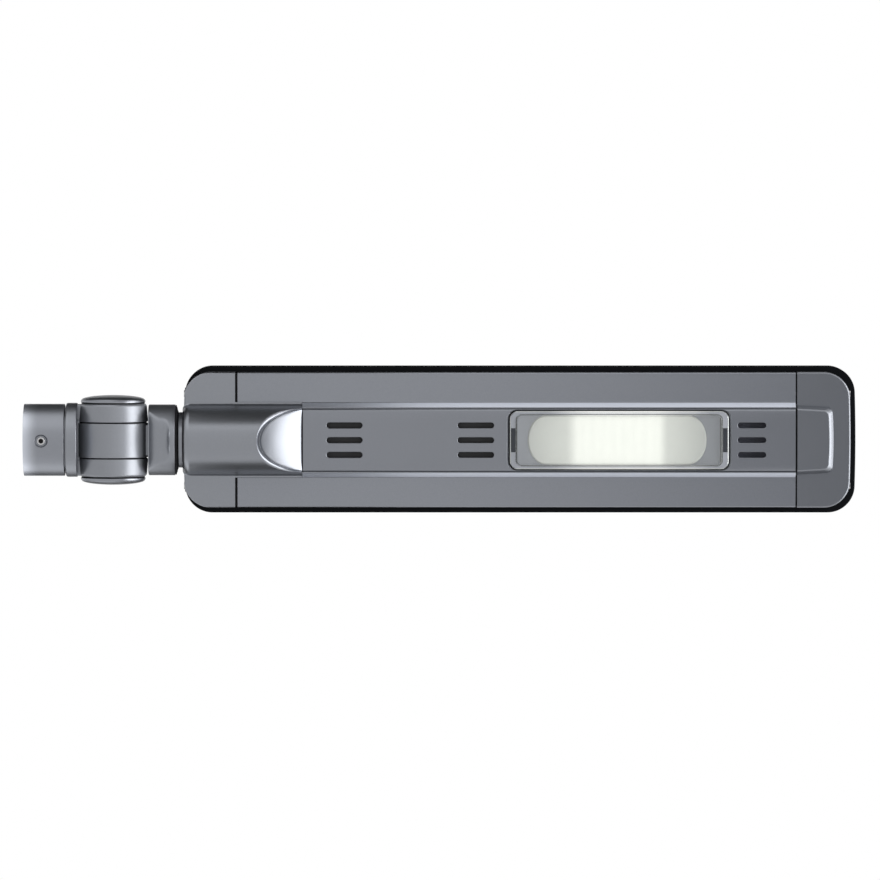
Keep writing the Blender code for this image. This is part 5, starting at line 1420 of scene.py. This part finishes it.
def boss_hollow(sizes):
    """The hollow of the boss, one wall thickness in, open above."""
    crown = sizes.boss_crown - BOSS_WALL
    middle = sizes.boss_depth - sizes.boss_crown
    top = BOSS_TOP_Z + GAP
    y, depth = crown * sin(BOSS_FLANK), middle + crown * cos(BOSS_FLANK)
    half = arc((0.0, middle), crown, crown, pi / 2, pi / 2 - BOSS_FLANK, HOLLOW_STEPS)
    half.append((y + (depth + top) / tan(BOSS_FLANK), -top))
    end, slope_start = BOSS_END - BOSS_WALL, RAMP_START - BOSS_WALL
    slope = [slope_start + (end - slope_start) * i / HOLLOW_STEPS for i in range(HOLLOW_STEPS + 1)]
    rings = []
    for x in [NOSE_WALL_END] + slope:
        cut = []
        for across, deep in half:
            limit = ramp_depth(sizes, x + HOLLOW_LEAD, across) - BOSS_WALL
            cut.append((across, -eased_min(deep, limit, HOLLOW_EASE)))
        rings.append(at_x(x, mirrored(cut, 1)))
    return loft(rings)


class LAMP_OT_arm_socket(bpy.types.Operator):
    """Make the rear casting: tray, boss with its slope, bearing nose and hollow."""
    bl_idname = "lamp.arm_socket"
    bl_label = "Arm socket"

    def execute(self, context):
        sizes = context.scene.lamp_sizes
        start, end = SEAL_END + GAP, NOSE_WALL_END + GAP
        nose = turned([(start, 0.0), (start, NOSE_RADIUS, NOSE_EDGE), (end, NOSE_RADIUS),
                       (end, 0.0)], ROUND)
        bore = cylinder(start - OVERSHOOT, NOSE_WALL_END + OVERSHOOT, PIVOT_RADIUS + GAP,
                        SMALL_ROUND)
        reach = NOSE_RADIUS + OVERSHOOT
        trim = boxes(((NOSE_TRIM_START, -reach, NOSE_TRIM_Z), (REAR_CAP_END, reach, FRAME_TOP_Z)))
        cavity = end_cavity(sizes, REAR_CAP_START + WALL, REAR_CAP_END + OVERSHOOT,
                            CAP_CORNER - WALL, 0.0)
        socket = worked(
            end_tray(sizes, REAR_CAP_START, REAR_CAP_END, CAP_CORNER, 0.0), ('DIFFERENCE', cavity),
            ('UNION', boss(sizes)), ('UNION', nose), ('UNION', end_screw_pads(REAR_CAP_START, 1)),
            ('DIFFERENCE', boss_hollow(sizes)), ('DIFFERENCE', bore), ('DIFFERENCE', trim),
            *end_screw_drills(REAR_CAP_START, 1))
        show("socket", socket, "casting_paint", "cast_silver", "lamp_head", "arm_socket")
        return {'FINISHED'}


def rib_ring(start, end, half_width, z, corner):
    """An outline of the front cap's rib, which narrows towards its end."""
    outline = plan(start, end, half_width, 0.0, corner, 0.0, FRONT_RIB_BOW)
    narrowing = FRONT_RIB_DRAFT / half_width
    return at_z(z, [(x, y * (1 - narrowing * max(x - start, 0.0) / (end - start)))
                    for x, y in outline])


def front_rib():
    """The end of the raised rib, its sides sloped and its face softly edged."""
    start, height = FRONT_CAP_START, FRONT_RIB_Z - WING_Z
    slope_x = FRONT_RIB_END - FRONT_RIB_FACE_END
    slope_y = FRONT_RIB_BASE - FRONT_RIB_FACE
    rings = [rib_ring(start, FRONT_RIB_END, FRONT_RIB_BASE, z, FRONT_RIB_CORNER)
             for z in (WING_Z + GAP, WING_Z)]
    for share, drawn_in in FRONT_RIB_SIDES:
        rings.append(rib_ring(start, FRONT_RIB_END - slope_x * drawn_in,
                              FRONT_RIB_BASE - slope_y * share, WING_Z + height * share,
                              FRONT_RIB_SIDE_CORNER))
    for share, softened in FRONT_RIB_FACES:
        inset = FRONT_RIB_EDGE * softened
        rings.append(rib_ring(start, FRONT_RIB_FACE_END - inset, FRONT_RIB_FACE - inset,
                              WING_Z + height * share, FRONT_RIB_FACE_CORNER))
    return loft(rings)


class LAMP_OT_front_cap(bpy.types.Operator):
    """Make the front casting with the end of the rib."""
    bl_idname = "lamp.front_cap"
    bl_label = "Front cap"

    def execute(self, context):
        sizes = context.scene.lamp_sizes
        start = FRONT_CAP_START - OVERSHOOT
        hollow = loft([
            rib_ring(start, end - WALL, half_width - WALL, z, FRONT_RIB_HOLLOW_CORNER)
            for end, half_width, z in ((FRONT_RIB_END, FRONT_RIB_BASE, GAP),
                                       (FRONT_RIB_FACE_END, FRONT_RIB_FACE, FRONT_RIB_Z + WALL))])
        cavity = end_cavity(sizes, start, FRONT_CAP_END - WALL, 0.0, CAP_CORNER - WALL)
        cap = worked(
            end_tray(sizes, FRONT_CAP_START, FRONT_CAP_END, 0.0, CAP_CORNER),
            ('UNION', front_rib()), ('DIFFERENCE', cavity), ('DIFFERENCE', hollow),
            ('UNION', end_screw_pads(FRONT_CAP_END - FRONT_PAD_SHIFT, -1)),
            *end_screw_drills(FRONT_CAP_END, -1))
        # The front cap wears the darker copy of the casting paint: painted shade.
        show("end_cap", cap, "front_paint", "cast_silver", "lamp_head", "front_cap")
        return {'FINISHED'}


# Body profile and cover strip

def frame_screw_holes(low, high):
    """A cutter for the six screws that hold the panel's frame to the body profile."""
    hole = circle(FRAME_HOLE_RADIUS, HOLE_ROUND)
    return ('DIFFERENCE', prisms(at_z, [moved(hole, x, side * FRAME_SCREW_Y)
                                        for x in FRAME_SCREW_XS for side in (1, -1)], low, high))


def profile_section():
    """The extruded section: seat, rails, wings, walls with their flanges, and screw flutes."""
    inner = PROFILE_HALF_WIDTH - WALL
    flange = PROFILE_HALF_WIDTH - FLANGE_WIDTH
    out, into = END_SCREW_Y + FLUTE_HALF_WIDTH, END_SCREW_Y - FLUTE_HALF_WIDTH
    return eased(mirrored([
        (GROOVE_HALF_WIDTH, SEAT_Z), (GROOVE_HALF_WIDTH, RAIL_Z), (RAIL_TIP, RAIL_Z, RAIL_TIP_EDGE),
        (RAIL_BASE, WING_Z, RAIL_BASE_EDGE), (PROFILE_HALF_WIDTH, WING_Z, PROFILE_EDGE),
        (PROFILE_HALF_WIDTH, WALL_TOP_Z, PROFILE_TOP_EDGE), (flange, WALL_TOP_Z),
        (flange, FLANGE_LOW_Z), (inner, FLANGE_LOW_Z), (inner, 0.0),
        (out + FLUTE_WALL, 0.0), (out + FLUTE_WALL, FLUTE_TOP_Z), (out, FLUTE_TOP_Z), (out, 0.0),
        (into, 0.0), (into, FLUTE_TOP_Z),
        (into - FLUTE_WALL, FLUTE_TOP_Z), (into - FLUTE_WALL, 0.0),
        (RAIL_INNER_BASE, 0.0), (RAIL_INNER_TIP, SEAT_INNER_Z)]))


class LAMP_OT_body_profile(bpy.types.Operator):
    """Make the extruded body with its rails, wings, flutes, windows and the notch for the boss."""
    bl_idname = "lamp.body_profile"
    bl_label = "Body profile"

    def execute(self, context):
        low = RAIL_Z - OVERSHOOT
        windows = [(start - VENT_WINDOW_MARGIN, end + VENT_WINDOW_MARGIN, VENT_WINDOW_HALF_WIDTH)
                   for start, end in SLOT_GROUPS]
        windows.append((LENS_START + LIGHT_WINDOW_MARGIN, LENS_END - LIGHT_WINDOW_MARGIN,
                        LIGHT_WINDOW_HALF_WIDTH))
        openings = [((start, -half, low), (end, half, 0.0)) for start, end, half in windows]
        notch = boss_half_section(context.scene.lamp_sizes)[-1][0] + GAP
        openings.append(((PROFILE_START - OVERSHOOT, -notch, low),
                         (BOSS_END + GAP, notch, OVERSHOOT)))
        profile = worked(prisms(at_x, [profile_section()], PROFILE_START, PROFILE_END),
                         ('DIFFERENCE', boxes(*openings)),
                         frame_screw_holes(FLANGE_LOW_Z - CLEAR, WALL_TOP_Z + CLEAR))
        body = show("profile", profile, "profile_paint", "silver_paint", "lamp_head",
                    "body_profile")
        # The seat's downward faces in the groove beside the strip are painted dark grey: painted
        # shade in the groove.
        paint_faces(body, "clip_grey", lambda face: (
            abs(face.center.z - SEAT_Z) < GAP / 2 and face.normal.z < -FLAT))
        return {'FINISHED'}


def strip_face(sizes, y):
    """The level of the cover strip's crowned face."""
    return STRIP_EDGE_Z - sizes.strip_crown * (1 - (y / SEAT_HALF_WIDTH) ** STRIP_CROWN_POWER)


def strip_section(sizes, top):
    """The crowned section of the strip with its rolled edges."""
    half_width = SEAT_HALF_WIDTH - GAP
    begin = STRIP_EDGE_ANGLE
    reach = half_width - STRIP_EDGE_WIDTH * (1 - sin(begin))
    half = [(reach * i / STRIP_CROWN_STEPS, strip_face(sizes, half_width * i / STRIP_CROWN_STEPS))
            for i in range(STRIP_CROWN_STEPS + 1)]
    for i in range(1, EDGE_STEPS + 1):
        angle = begin + (pi / 2 - begin) * i / EDGE_STEPS
        half.append((half_width - STRIP_EDGE_WIDTH * (1 - sin(angle)),
                     STRIP_EDGE_Z + STRIP_EDGE_DROP * (cos(begin) - cos(angle))))
    return mirrored(half + [(half_width, top)], 1)


def vent_slots(sizes, top):
    """Cutters for the three groups of three vent slots, each with its chamfer."""
    wide, chamfer = sizes.slot_half_width, sizes.slot_chamfer
    slots = []
    for start, end in SLOT_GROUPS:
        for row in (-1, 0, 1):
            y = row * SLOT_PITCH
            face = strip_face(sizes, y)
            rings = []
            for z, grow in ((face - CLEAR, CLEAR + chamfer), (face + chamfer, 0.0),
                            (top + OVERSHOOT, 0.0)):
                outline = oval(start - grow, end + grow, wide + grow, wide + grow, SLOT_STEPS)
                rings.append(at_z(z, moved(outline, 0.0, y)))
            slots.append(loft(rings))
    return gathered(*slots)


class LAMP_OT_cover_strip(bpy.types.Operator):
    """Make the crowned cover strip with its chamfered vent slots and the window for the light."""
    bl_idname = "lamp.cover_strip"
    bl_label = "Cover strip"

    def execute(self, context):
        sizes = context.scene.lamp_sizes
        top = SEAT_Z - GAP
        window = loft([lens_ring(-grow, -grow, z) for z, grow in (
            (STRIP_EDGE_Z - OVERSHOOT, OVERSHOOT + WINDOW_BEVEL),
            (STRIP_EDGE_Z + WINDOW_BEVEL, 0.0), (top + OVERSHOOT, 0.0))])
        strip = worked(prisms(at_x, [strip_section(sizes, top)], STRIP_START, STRIP_END),
                       ('DIFFERENCE', vent_slots(sizes, top)), ('DIFFERENCE', window))
        show("vented_strip", strip, "strip_paint", "silver_paint", "lamp_head", "cover_strip")
        return {'FINISHED'}


# Light

def lens_ring(margin_x, margin_y, z):
    """An outline of the lens cover, drawn in by its margins from the strip's window."""
    corner = max(LENS_CORNER - LENS_CORNER_SHARE * min(margin_x, margin_y), LENS_LEAST_CORNER)
    return at_z(z, plan(LENS_START + margin_x, LENS_END - margin_x, LENS_HALF_WIDTH - margin_y,
                        corner, corner))


def clip_span(end, sign):
    middle = end + sign * CLIP_OFFSET
    return middle - CLIP_WIDTH / 2, middle + CLIP_WIDTH / 2


def diffuser_ring(inset, z):
    return at_z(z, oval(DIFFUSER_START + inset, DIFFUSER_END - inset, DIFFUSER_HALF_WIDTH - inset,
                        DIFFUSER_END_LENGTH - inset, DIFFUSER_STEPS))


def lens_cover():
    """The lens cover: a flange with a rounded rim, a raised field, and notches for the clips."""
    def face_ring(inset, z):
        return lens_ring(LENS_FACE_MARGIN_X + inset, LENS_FACE_MARGIN_Y + inset, z)

    foot, edge = LENS_FACE_FOOT, LENS_FACE_EDGE
    cover = loft([
        face_ring(LENS_SKIN, LENS_FACE_Z + LENS_SKIN), face_ring(LENS_SKIN, LENS_FLANGE_TOP_Z),
        lens_ring(LENS_GAP, LENS_GAP, LENS_FLANGE_TOP_Z),
        *(lens_ring(LENS_GAP + inset, LENS_GAP + inset, LENS_FLANGE_Z + rise)
          for inset, rise in reversed(rounding(LENS_RIM, EDGE_STEPS))),
        face_ring(-foot, LENS_FLANGE_Z),
        face_ring(-EDGE_SHARE * foot, LENS_FLANGE_Z - EDGE_SHARE * foot),
        face_ring(0.0, LENS_FACE_Z + edge),
        face_ring(EDGE_SHARE * edge, LENS_FACE_Z + EDGE_SHARE * edge),
        face_ring(edge, LENS_FACE_Z)])
    half = CLIP_LENGTH / 2
    notches = [((low, -half, LENS_FLANGE_Z - CLEAR), (high, half, LENS_FLANGE_TOP_Z + CLEAR))
               for low, high in (clip_span(LENS_START, 1), clip_span(LENS_END, -1))]
    return worked(cover, ('DIFFERENCE', boxes(*notches)))


def on_lens_rim(face):
    """True for the rounded rim and for the walls of the raised field."""
    x, y, z = face.center
    margin = min(x - LENS_START, LENS_END - x, LENS_HALF_WIDTH - abs(y))
    if margin < LENS_GAP + LENS_RIM and z < LENS_FLANGE_TOP_Z - GAP:
        return True
    return LENS_FACE_Z < z < LENS_FLANGE_Z - GAP / 2 and abs(face.normal.z) < FLAT


def on_lens_flange(face):
    faces_down = face.center.z > LENS_FLANGE_Z - GAP / 2 and face.normal.z < -FLAT
    return faces_down and not on_lens_rim(face)


def lens_clip(end, sign):
    """A clip in its notch of the flange, its visible edges rounded."""
    low, high = clip_span(end, sign)
    face, back = LENS_FLANGE_Z + GAP, LENS_FLANGE_TOP_Z
    section = eased([(low + GAP, back), (high - GAP, back), (high - GAP, face, CLIP_EDGE),
                     (low + GAP, face, CLIP_EDGE)])
    half = CLIP_LENGTH / 2 - GAP
    rings = []
    for y, inset in ((-half, CLIP_END_EDGE), (GAP - half, 0.0), (half - GAP, 0.0),
                     (half, CLIP_END_EDGE)):
        rings.append([Vector((x, y, z + inset * (z < back - GAP))) for x, z in section])
    return loft(rings)


def light_tray(low, high):
    """The metal tray with the opening for the diffuser."""
    outline = plan(LENS_START + TRAY_MARGIN, LENS_END - TRAY_MARGIN, TRAY_HALF_WIDTH,
                   TRAY_CORNER, TRAY_CORNER)
    opening = loft([diffuser_ring(-GAP, low - OVERSHOOT), diffuser_ring(-GAP, high + OVERSHOOT)])
    return worked(prisms(at_z, [outline], low, high), ('DIFFERENCE', opening))


def diffuser(brim_low):
    """The opal dish, with a brim that rests on the tray."""
    skin = DIFFUSER_SKIN
    rings = [(3 * skin, DIFFUSER_FACE_Z + skin), (skin, DIFFUSER_FACE_Z + 2 * skin),
             (skin, brim_low + skin), (-DIFFUSER_BRIM, brim_low + skin),
             (-DIFFUSER_BRIM, brim_low), (0.0, brim_low)]
    rings += [(inset, DIFFUSER_FACE_Z + rise)
              for inset, rise in reversed(rounding(skin, SOFT_EDGE_STEPS))]
    return loft([diffuser_ring(inset, z) for inset, z in rings])


class LAMP_OT_light(bpy.types.Operator):
    """Make the clear lens cover with its clips, and behind it the tray with the opal diffuser."""
    bl_idname = "lamp.light"
    bl_label = "Lens cover and light"

    def execute(self, context):
        lens = show("clear_cover", lens_cover(), "clear_cover", "clear_plastic", "lamp_head",
                    "lens_cover")
        paint_faces(lens, "frosted_rim", on_lens_rim)
        paint_faces(lens, "smoked_flange", on_lens_flange)
        for side, end, sign in (("rear", LENS_START, 1), ("front", LENS_END, -1)):
            show(f"clip_{side}", lens_clip(end, sign), "clip_grey", "black_plastic", "lamp_head",
                 f"lens_clip_{side}")
        low = SEAT_INNER_Z + GAP
        high = low + TRAY_SHEET
        show("tray", light_tray(low, high), "tray_paint", "silver_paint", "lamp_head", "lamp_tray")
        show("diffuser", diffuser(high + GAP), "opal_diffuser", "opal_plastic", "lamp_head",
             "light_diffuser")
        return {'FINISHED'}


# Solar panel

def frame_ring(sizes, inset, z):
    corner = FRAME_CORNER - inset
    return at_z(z, plan(FRAME_START + inset, FRAME_END - inset, FRAME_HALF_WIDTH - inset,
                        corner, corner, sizes.end_bow, sizes.end_bow))


def panel_frame(sizes):
    """The frame: rounded outside, with a lip and a ledge for the glass and a foot below."""
    wall, lip, ledge, foot = FRAME_WALL, FRAME_LIP, FRAME_LEDGE, FRAME_FOOT
    top, lip_low = FRAME_TOP_Z, FRAME_TOP_Z - FRAME_LIP_HEIGHT
    ledge_low = FRAME_LEDGE_Z - FRAME_LEDGE_HEIGHT
    foot_top = FRAME_BOTTOM_Z + FRAME_FOOT_HEIGHT
    outside = [(inset, FRAME_BOTTOM_Z + rise)
               for inset, rise in rounding(sizes.frame_rounding / 2, EDGE_STEPS)]
    outside += [(inset, top - rise)
                for inset, rise in reversed(rounding(sizes.frame_rounding, SOFT_EDGE_STEPS))]
    inside = [(lip - FRAME_LIP_EDGE, top), (lip, top - FRAME_LIP_EDGE), (lip, lip_low),
              (wall, lip_low), (wall, FRAME_LEDGE_Z), (ledge, FRAME_LEDGE_Z), (ledge, ledge_low),
              (wall, ledge_low), (wall, foot_top), (foot, foot_top), (foot, FRAME_BOTTOM_Z)]
    shell = loft([frame_ring(sizes, inset, z) for inset, z in outside + inside], closed=True)
    return worked(shell, frame_screw_holes(FRAME_BOTTOM_Z - CLEAR, foot_top + CLEAR))


def cell_sheet(sizes):
    """The back sheet with its row of cells, the two end cells rounded as the frame is."""
    inset = FRAME_WALL + GAP
    low = FRAME_LEDGE_Z + GAP
    high = low + SHEET_THICKNESS
    sheet = loft([frame_ring(sizes, inset, low), frame_ring(sizes, inset, high)])
    half = (sizes.cell_pitch - sizes.cell_gap) / 2
    last = sizes.cell_count - 1
    cells = []
    for i in range(sizes.cell_count):
        x = FRAME_MIDDLE + (i - last / 2) * sizes.cell_pitch
        cells.append(plan(x - half, x + half, CELL_HALF_WIDTH,
                          END_CELL_CORNER if i == 0 else CELL_CORNER,
                          END_CELL_CORNER if i == last else CELL_CORNER))
    wafers = prisms(at_z, cells, high - GAP, high + CELL_THICKNESS)
    return worked(sheet, ('UNION', wafers))


class LAMP_OT_solar_panel(bpy.types.Operator):
    """Make the panel's frame, its glass and the sheet of solar cells."""
    bl_idname = "lamp.solar_panel"
    bl_label = "Solar panel"

    def execute(self, context):
        sizes = context.scene.lamp_sizes
        show("frame", panel_frame(sizes), "textured_black", "black_plastic", "lamp_head",
             "panel_frame")
        inset, edge = FRAME_WALL + GAP, GLASS_EDGE
        high = FRAME_TOP_Z - FRAME_LIP_HEIGHT - GAP
        low = high - GLASS_THICKNESS
        glass = loft([frame_ring(sizes, inset + drawn_in, z) for drawn_in, z in (
            (edge, low), (0.0, low + edge), (0.0, high - edge), (edge, high))])
        show("glass", glass, "panel_glass", "solar_glass", "lamp_head", "panel_glass")
        show("cells", cell_sheet(sizes), "solar_cells", "solar_cells", "lamp_head", "cell_sheet")
        return {'FINISHED'}


# Pieces that keep their CAD shape

KEPT = {
    "zinc_plate": (
        "hinge_bolt", "hinge_nut", "friction_washer_left", "friction_washer_right",
        "pivot_washer", "pivot_nut", "rear_screw_left", "rear_screw_right", "front_screw_left",
        "front_screw_right", *(f"frame_screw_{i}" for i in range(1, 7))),
    "sintered_bronze": ("hinge_bush",),
    "seal_rubber": ("rear_gasket_left", "rear_gasket_right", "front_gasket", "lens_gasket"),
    "textured_black": ("junction_box", "battery_strap_1", "battery_strap_2"),
    "diode_board": ("led_board",),
    "mill_aluminium": ("heat_spreader",),
    "battery_wrap": ("battery_pack",),
    "controller_board": ("controller_board",),
    "lead_insulation": ("battery_lead", "panel_lead", "led_lead"),
}


class LAMP_OT_kept_pieces(bpy.types.Operator):
    """Give the pieces that keep their CAD shape their finishes."""
    bl_idname = "lamp.kept_pieces"
    bl_label = "Inner pieces and fasteners"

    def execute(self, context):
        for name, nodes in KEPT.items():
            for node in nodes:
                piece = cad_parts[node]
                if not piece.material_slots:
                    raise RuntimeError(f"{node} has no material slot")
                for slot in piece.material_slots:
                    slot.material = finish(name)
        return {'FINISHED'}


# Stage

def background_share(tree):
    """1 for rays that show the surround: to the camera, by reflection and through glass."""
    path = tree.node("ShaderNodeLightPath").socket.node.outputs
    names = ("Is Camera Ray", "Is Glossy Ray", "Is Transmission Ray")
    camera, glossy, transmission = (Value(tree, path[name]) for name in names)
    return camera + glossy + transmission


def add_camera(scene):
    """A camera straight below the lamp, tipped a little to one side."""
    stage = scene.lamp_stage
    camera = bpy.data.cameras.new("camera")
    camera.sensor_width = CAMERA_SENSOR
    camera.lens = camera.sensor_width * stage.distance / stage.picture_width
    camera.clip_end = CAMERA_REACH
    view = bpy.data.objects.new("camera", camera)
    scene.collection.objects.link(view)
    back = Vector((sin(stage.sideways), -sin(stage.tip),
                   -cos(stage.sideways) * cos(stage.tip))).normalized()
    right = (Vector((1.0, 0.0, 0.0)) - back * back.x).normalized()
    place = Matrix((right, back.cross(right), back)).transposed().to_4x4()
    place.translation = Vector(CAMERA_AIM) + back * stage.distance
    view.matrix_world = place
    scene.camera = view


def add_surround(scene):
    """A white surround that lights the lamp only as much as the sky level says."""
    scene.world = bpy.data.worlds.new("surround")
    sky = Finish(scene.world)
    cast, seen = (
        sky.node("ShaderNodeBackground", sockets={"Color": (*WHITE, 1.0), "Strength": level})
        for level in (scene.lamp_stage.sky_level, 1.0))
    both = sky.node("ShaderNodeMixShader", sockets={0: background_share(sky), 1: cast, 2: seen})
    sky.node("ShaderNodeOutputWorld", sockets={"Surface": both})


def add_floor(stage):
    shape = bmesh.new()
    bmesh.ops.create_grid(shape, x_segments=8, y_segments=8, size=FLOOR_REACH)
    bmesh.ops.translate(shape, vec=(FLOOR_MIDDLE_X, 0.0, stage.floor_z), verts=shape.verts)
    floor = new_object("floor", shape)
    paint = new_finish("floor")
    matt = paint.node("ShaderNodeBsdfDiffuse", sockets={"Color": (*stage.floor, 1.0)})
    pale = paint.node("ShaderNodeEmission", sockets={"Strength": FLOOR_GLOW})
    mixed = paint.node("ShaderNodeMixShader", sockets={
        0: background_share(paint) * FLOOR_GLOW_SHARE, 1: matt, 2: pale})
    paint.node("ShaderNodeOutputMaterial", sockets={"Surface": mixed})
    floor.data.materials.append(paint.owner)


def add_key_light(scene):
    """One large soft light beyond the lamp's front, its local -Z towards the bracket."""
    light = bpy.data.lights.new("key", 'AREA')
    light.shape = 'RECTANGLE'
    light.size, light.size_y = KEY_SIZE
    light.energy = scene.lamp_stage.key_power
    made = bpy.data.objects.new("key", light)
    scene.collection.objects.link(made)
    place = Vector(KEY_PLACE)
    turn = (Vector(KEY_TARGET) - place).to_track_quat('-Z', 'Y').to_matrix().to_4x4()
    made.matrix_world = Matrix.Translation(place) @ turn
    made.visible_camera = False


def add_card(name, corners, level, tint=WHITE):
    """A card that only mirrors in the lamp's paint, as a flag beside a set does."""
    shape = bmesh.new()
    shape.faces.new([shape.verts.new(corner) for corner in corners])
    made = new_object(name, shape)
    paper = new_finish(name)
    glow = paper.node("ShaderNodeEmission", sockets={"Color": (*tint, 1.0), "Strength": level})
    paper.node("ShaderNodeOutputMaterial", sockets={"Surface": glow})
    made.data.materials.append(paper.owner)
    made.visible_camera = made.visible_diffuse = made.visible_shadow = False
    made.visible_transmission = made.visible_volume_scatter = False


class LAMP_OT_stage(bpy.types.Operator):
    """Set up the camera below the lamp, the pale floor, the white surround and the soft light."""
    bl_idname = "lamp.stage"
    bl_label = "Stage"

    def execute(self, context):
        scene = context.scene
        scene.view_settings.view_transform = 'Standard'
        add_camera(scene)
        add_surround(scene)
        add_floor(scene.lamp_stage)
        add_key_light(scene)
        for name, (y, low, high, start, end, level) in SIDE_CARDS.items():
            corners = [(start, y, low), (end, y, low), (end, y, high), (start, y, high)]
            add_card(name, corners, level)
        for name, (corners, level, tint) in FRONT_CARDS.items():
            add_card(name, corners, level, tint)
        return {'FINISHED'}


# Add-on

OPERATORS = (
    LAMP_OT_pole_sleeve, LAMP_OT_hinge, LAMP_OT_neck, LAMP_OT_arm_socket, LAMP_OT_body_profile,
    LAMP_OT_front_cap, LAMP_OT_cover_strip, LAMP_OT_light, LAMP_OT_solar_panel,
    LAMP_OT_kept_pieces, LAMP_OT_stage,
)


class LAMP_PT_pieces(bpy.types.Panel):
    """Lists the lamp's pieces and its settings."""
    bl_idname = "LAMP_PT_pieces"
    bl_label = "Solar Street Lamp"
    bl_space_type = 'VIEW_3D'
    bl_region_type = 'UI'
    bl_category = "Lamp"

    def draw(self, context):
        for operator in OPERATORS:
            self.layout.operator(operator.bl_idname)
        scene = context.scene
        for group in (scene.lamp_sizes, scene.lamp_colours, scene.lamp_stage):
            box = self.layout.box()
            for key in group.__annotations__:
                box.prop(group, key)


CLASSES = (LampSizes, LampColours, StageSettings, *OPERATORS, LAMP_PT_pieces)


def register():
    for each in CLASSES:
        bpy.utils.register_class(each)
    bpy.types.Scene.lamp_sizes = PointerProperty(type=LampSizes)
    bpy.types.Scene.lamp_colours = PointerProperty(type=LampColours)
    bpy.types.Scene.lamp_stage = PointerProperty(type=StageSettings)


def unregister():
    del bpy.types.Scene.lamp_stage
    del bpy.types.Scene.lamp_colours
    del bpy.types.Scene.lamp_sizes
    for each in reversed(CLASSES):
        bpy.utils.unregister_class(each)


def main():
    register()
    for operator in OPERATORS:
        group, name = operator.bl_idname.split(".")
        getattr(getattr(bpy.ops, group), name)()
    bpy.context.view_layer.update()


if __name__ == "__main__":
    main()
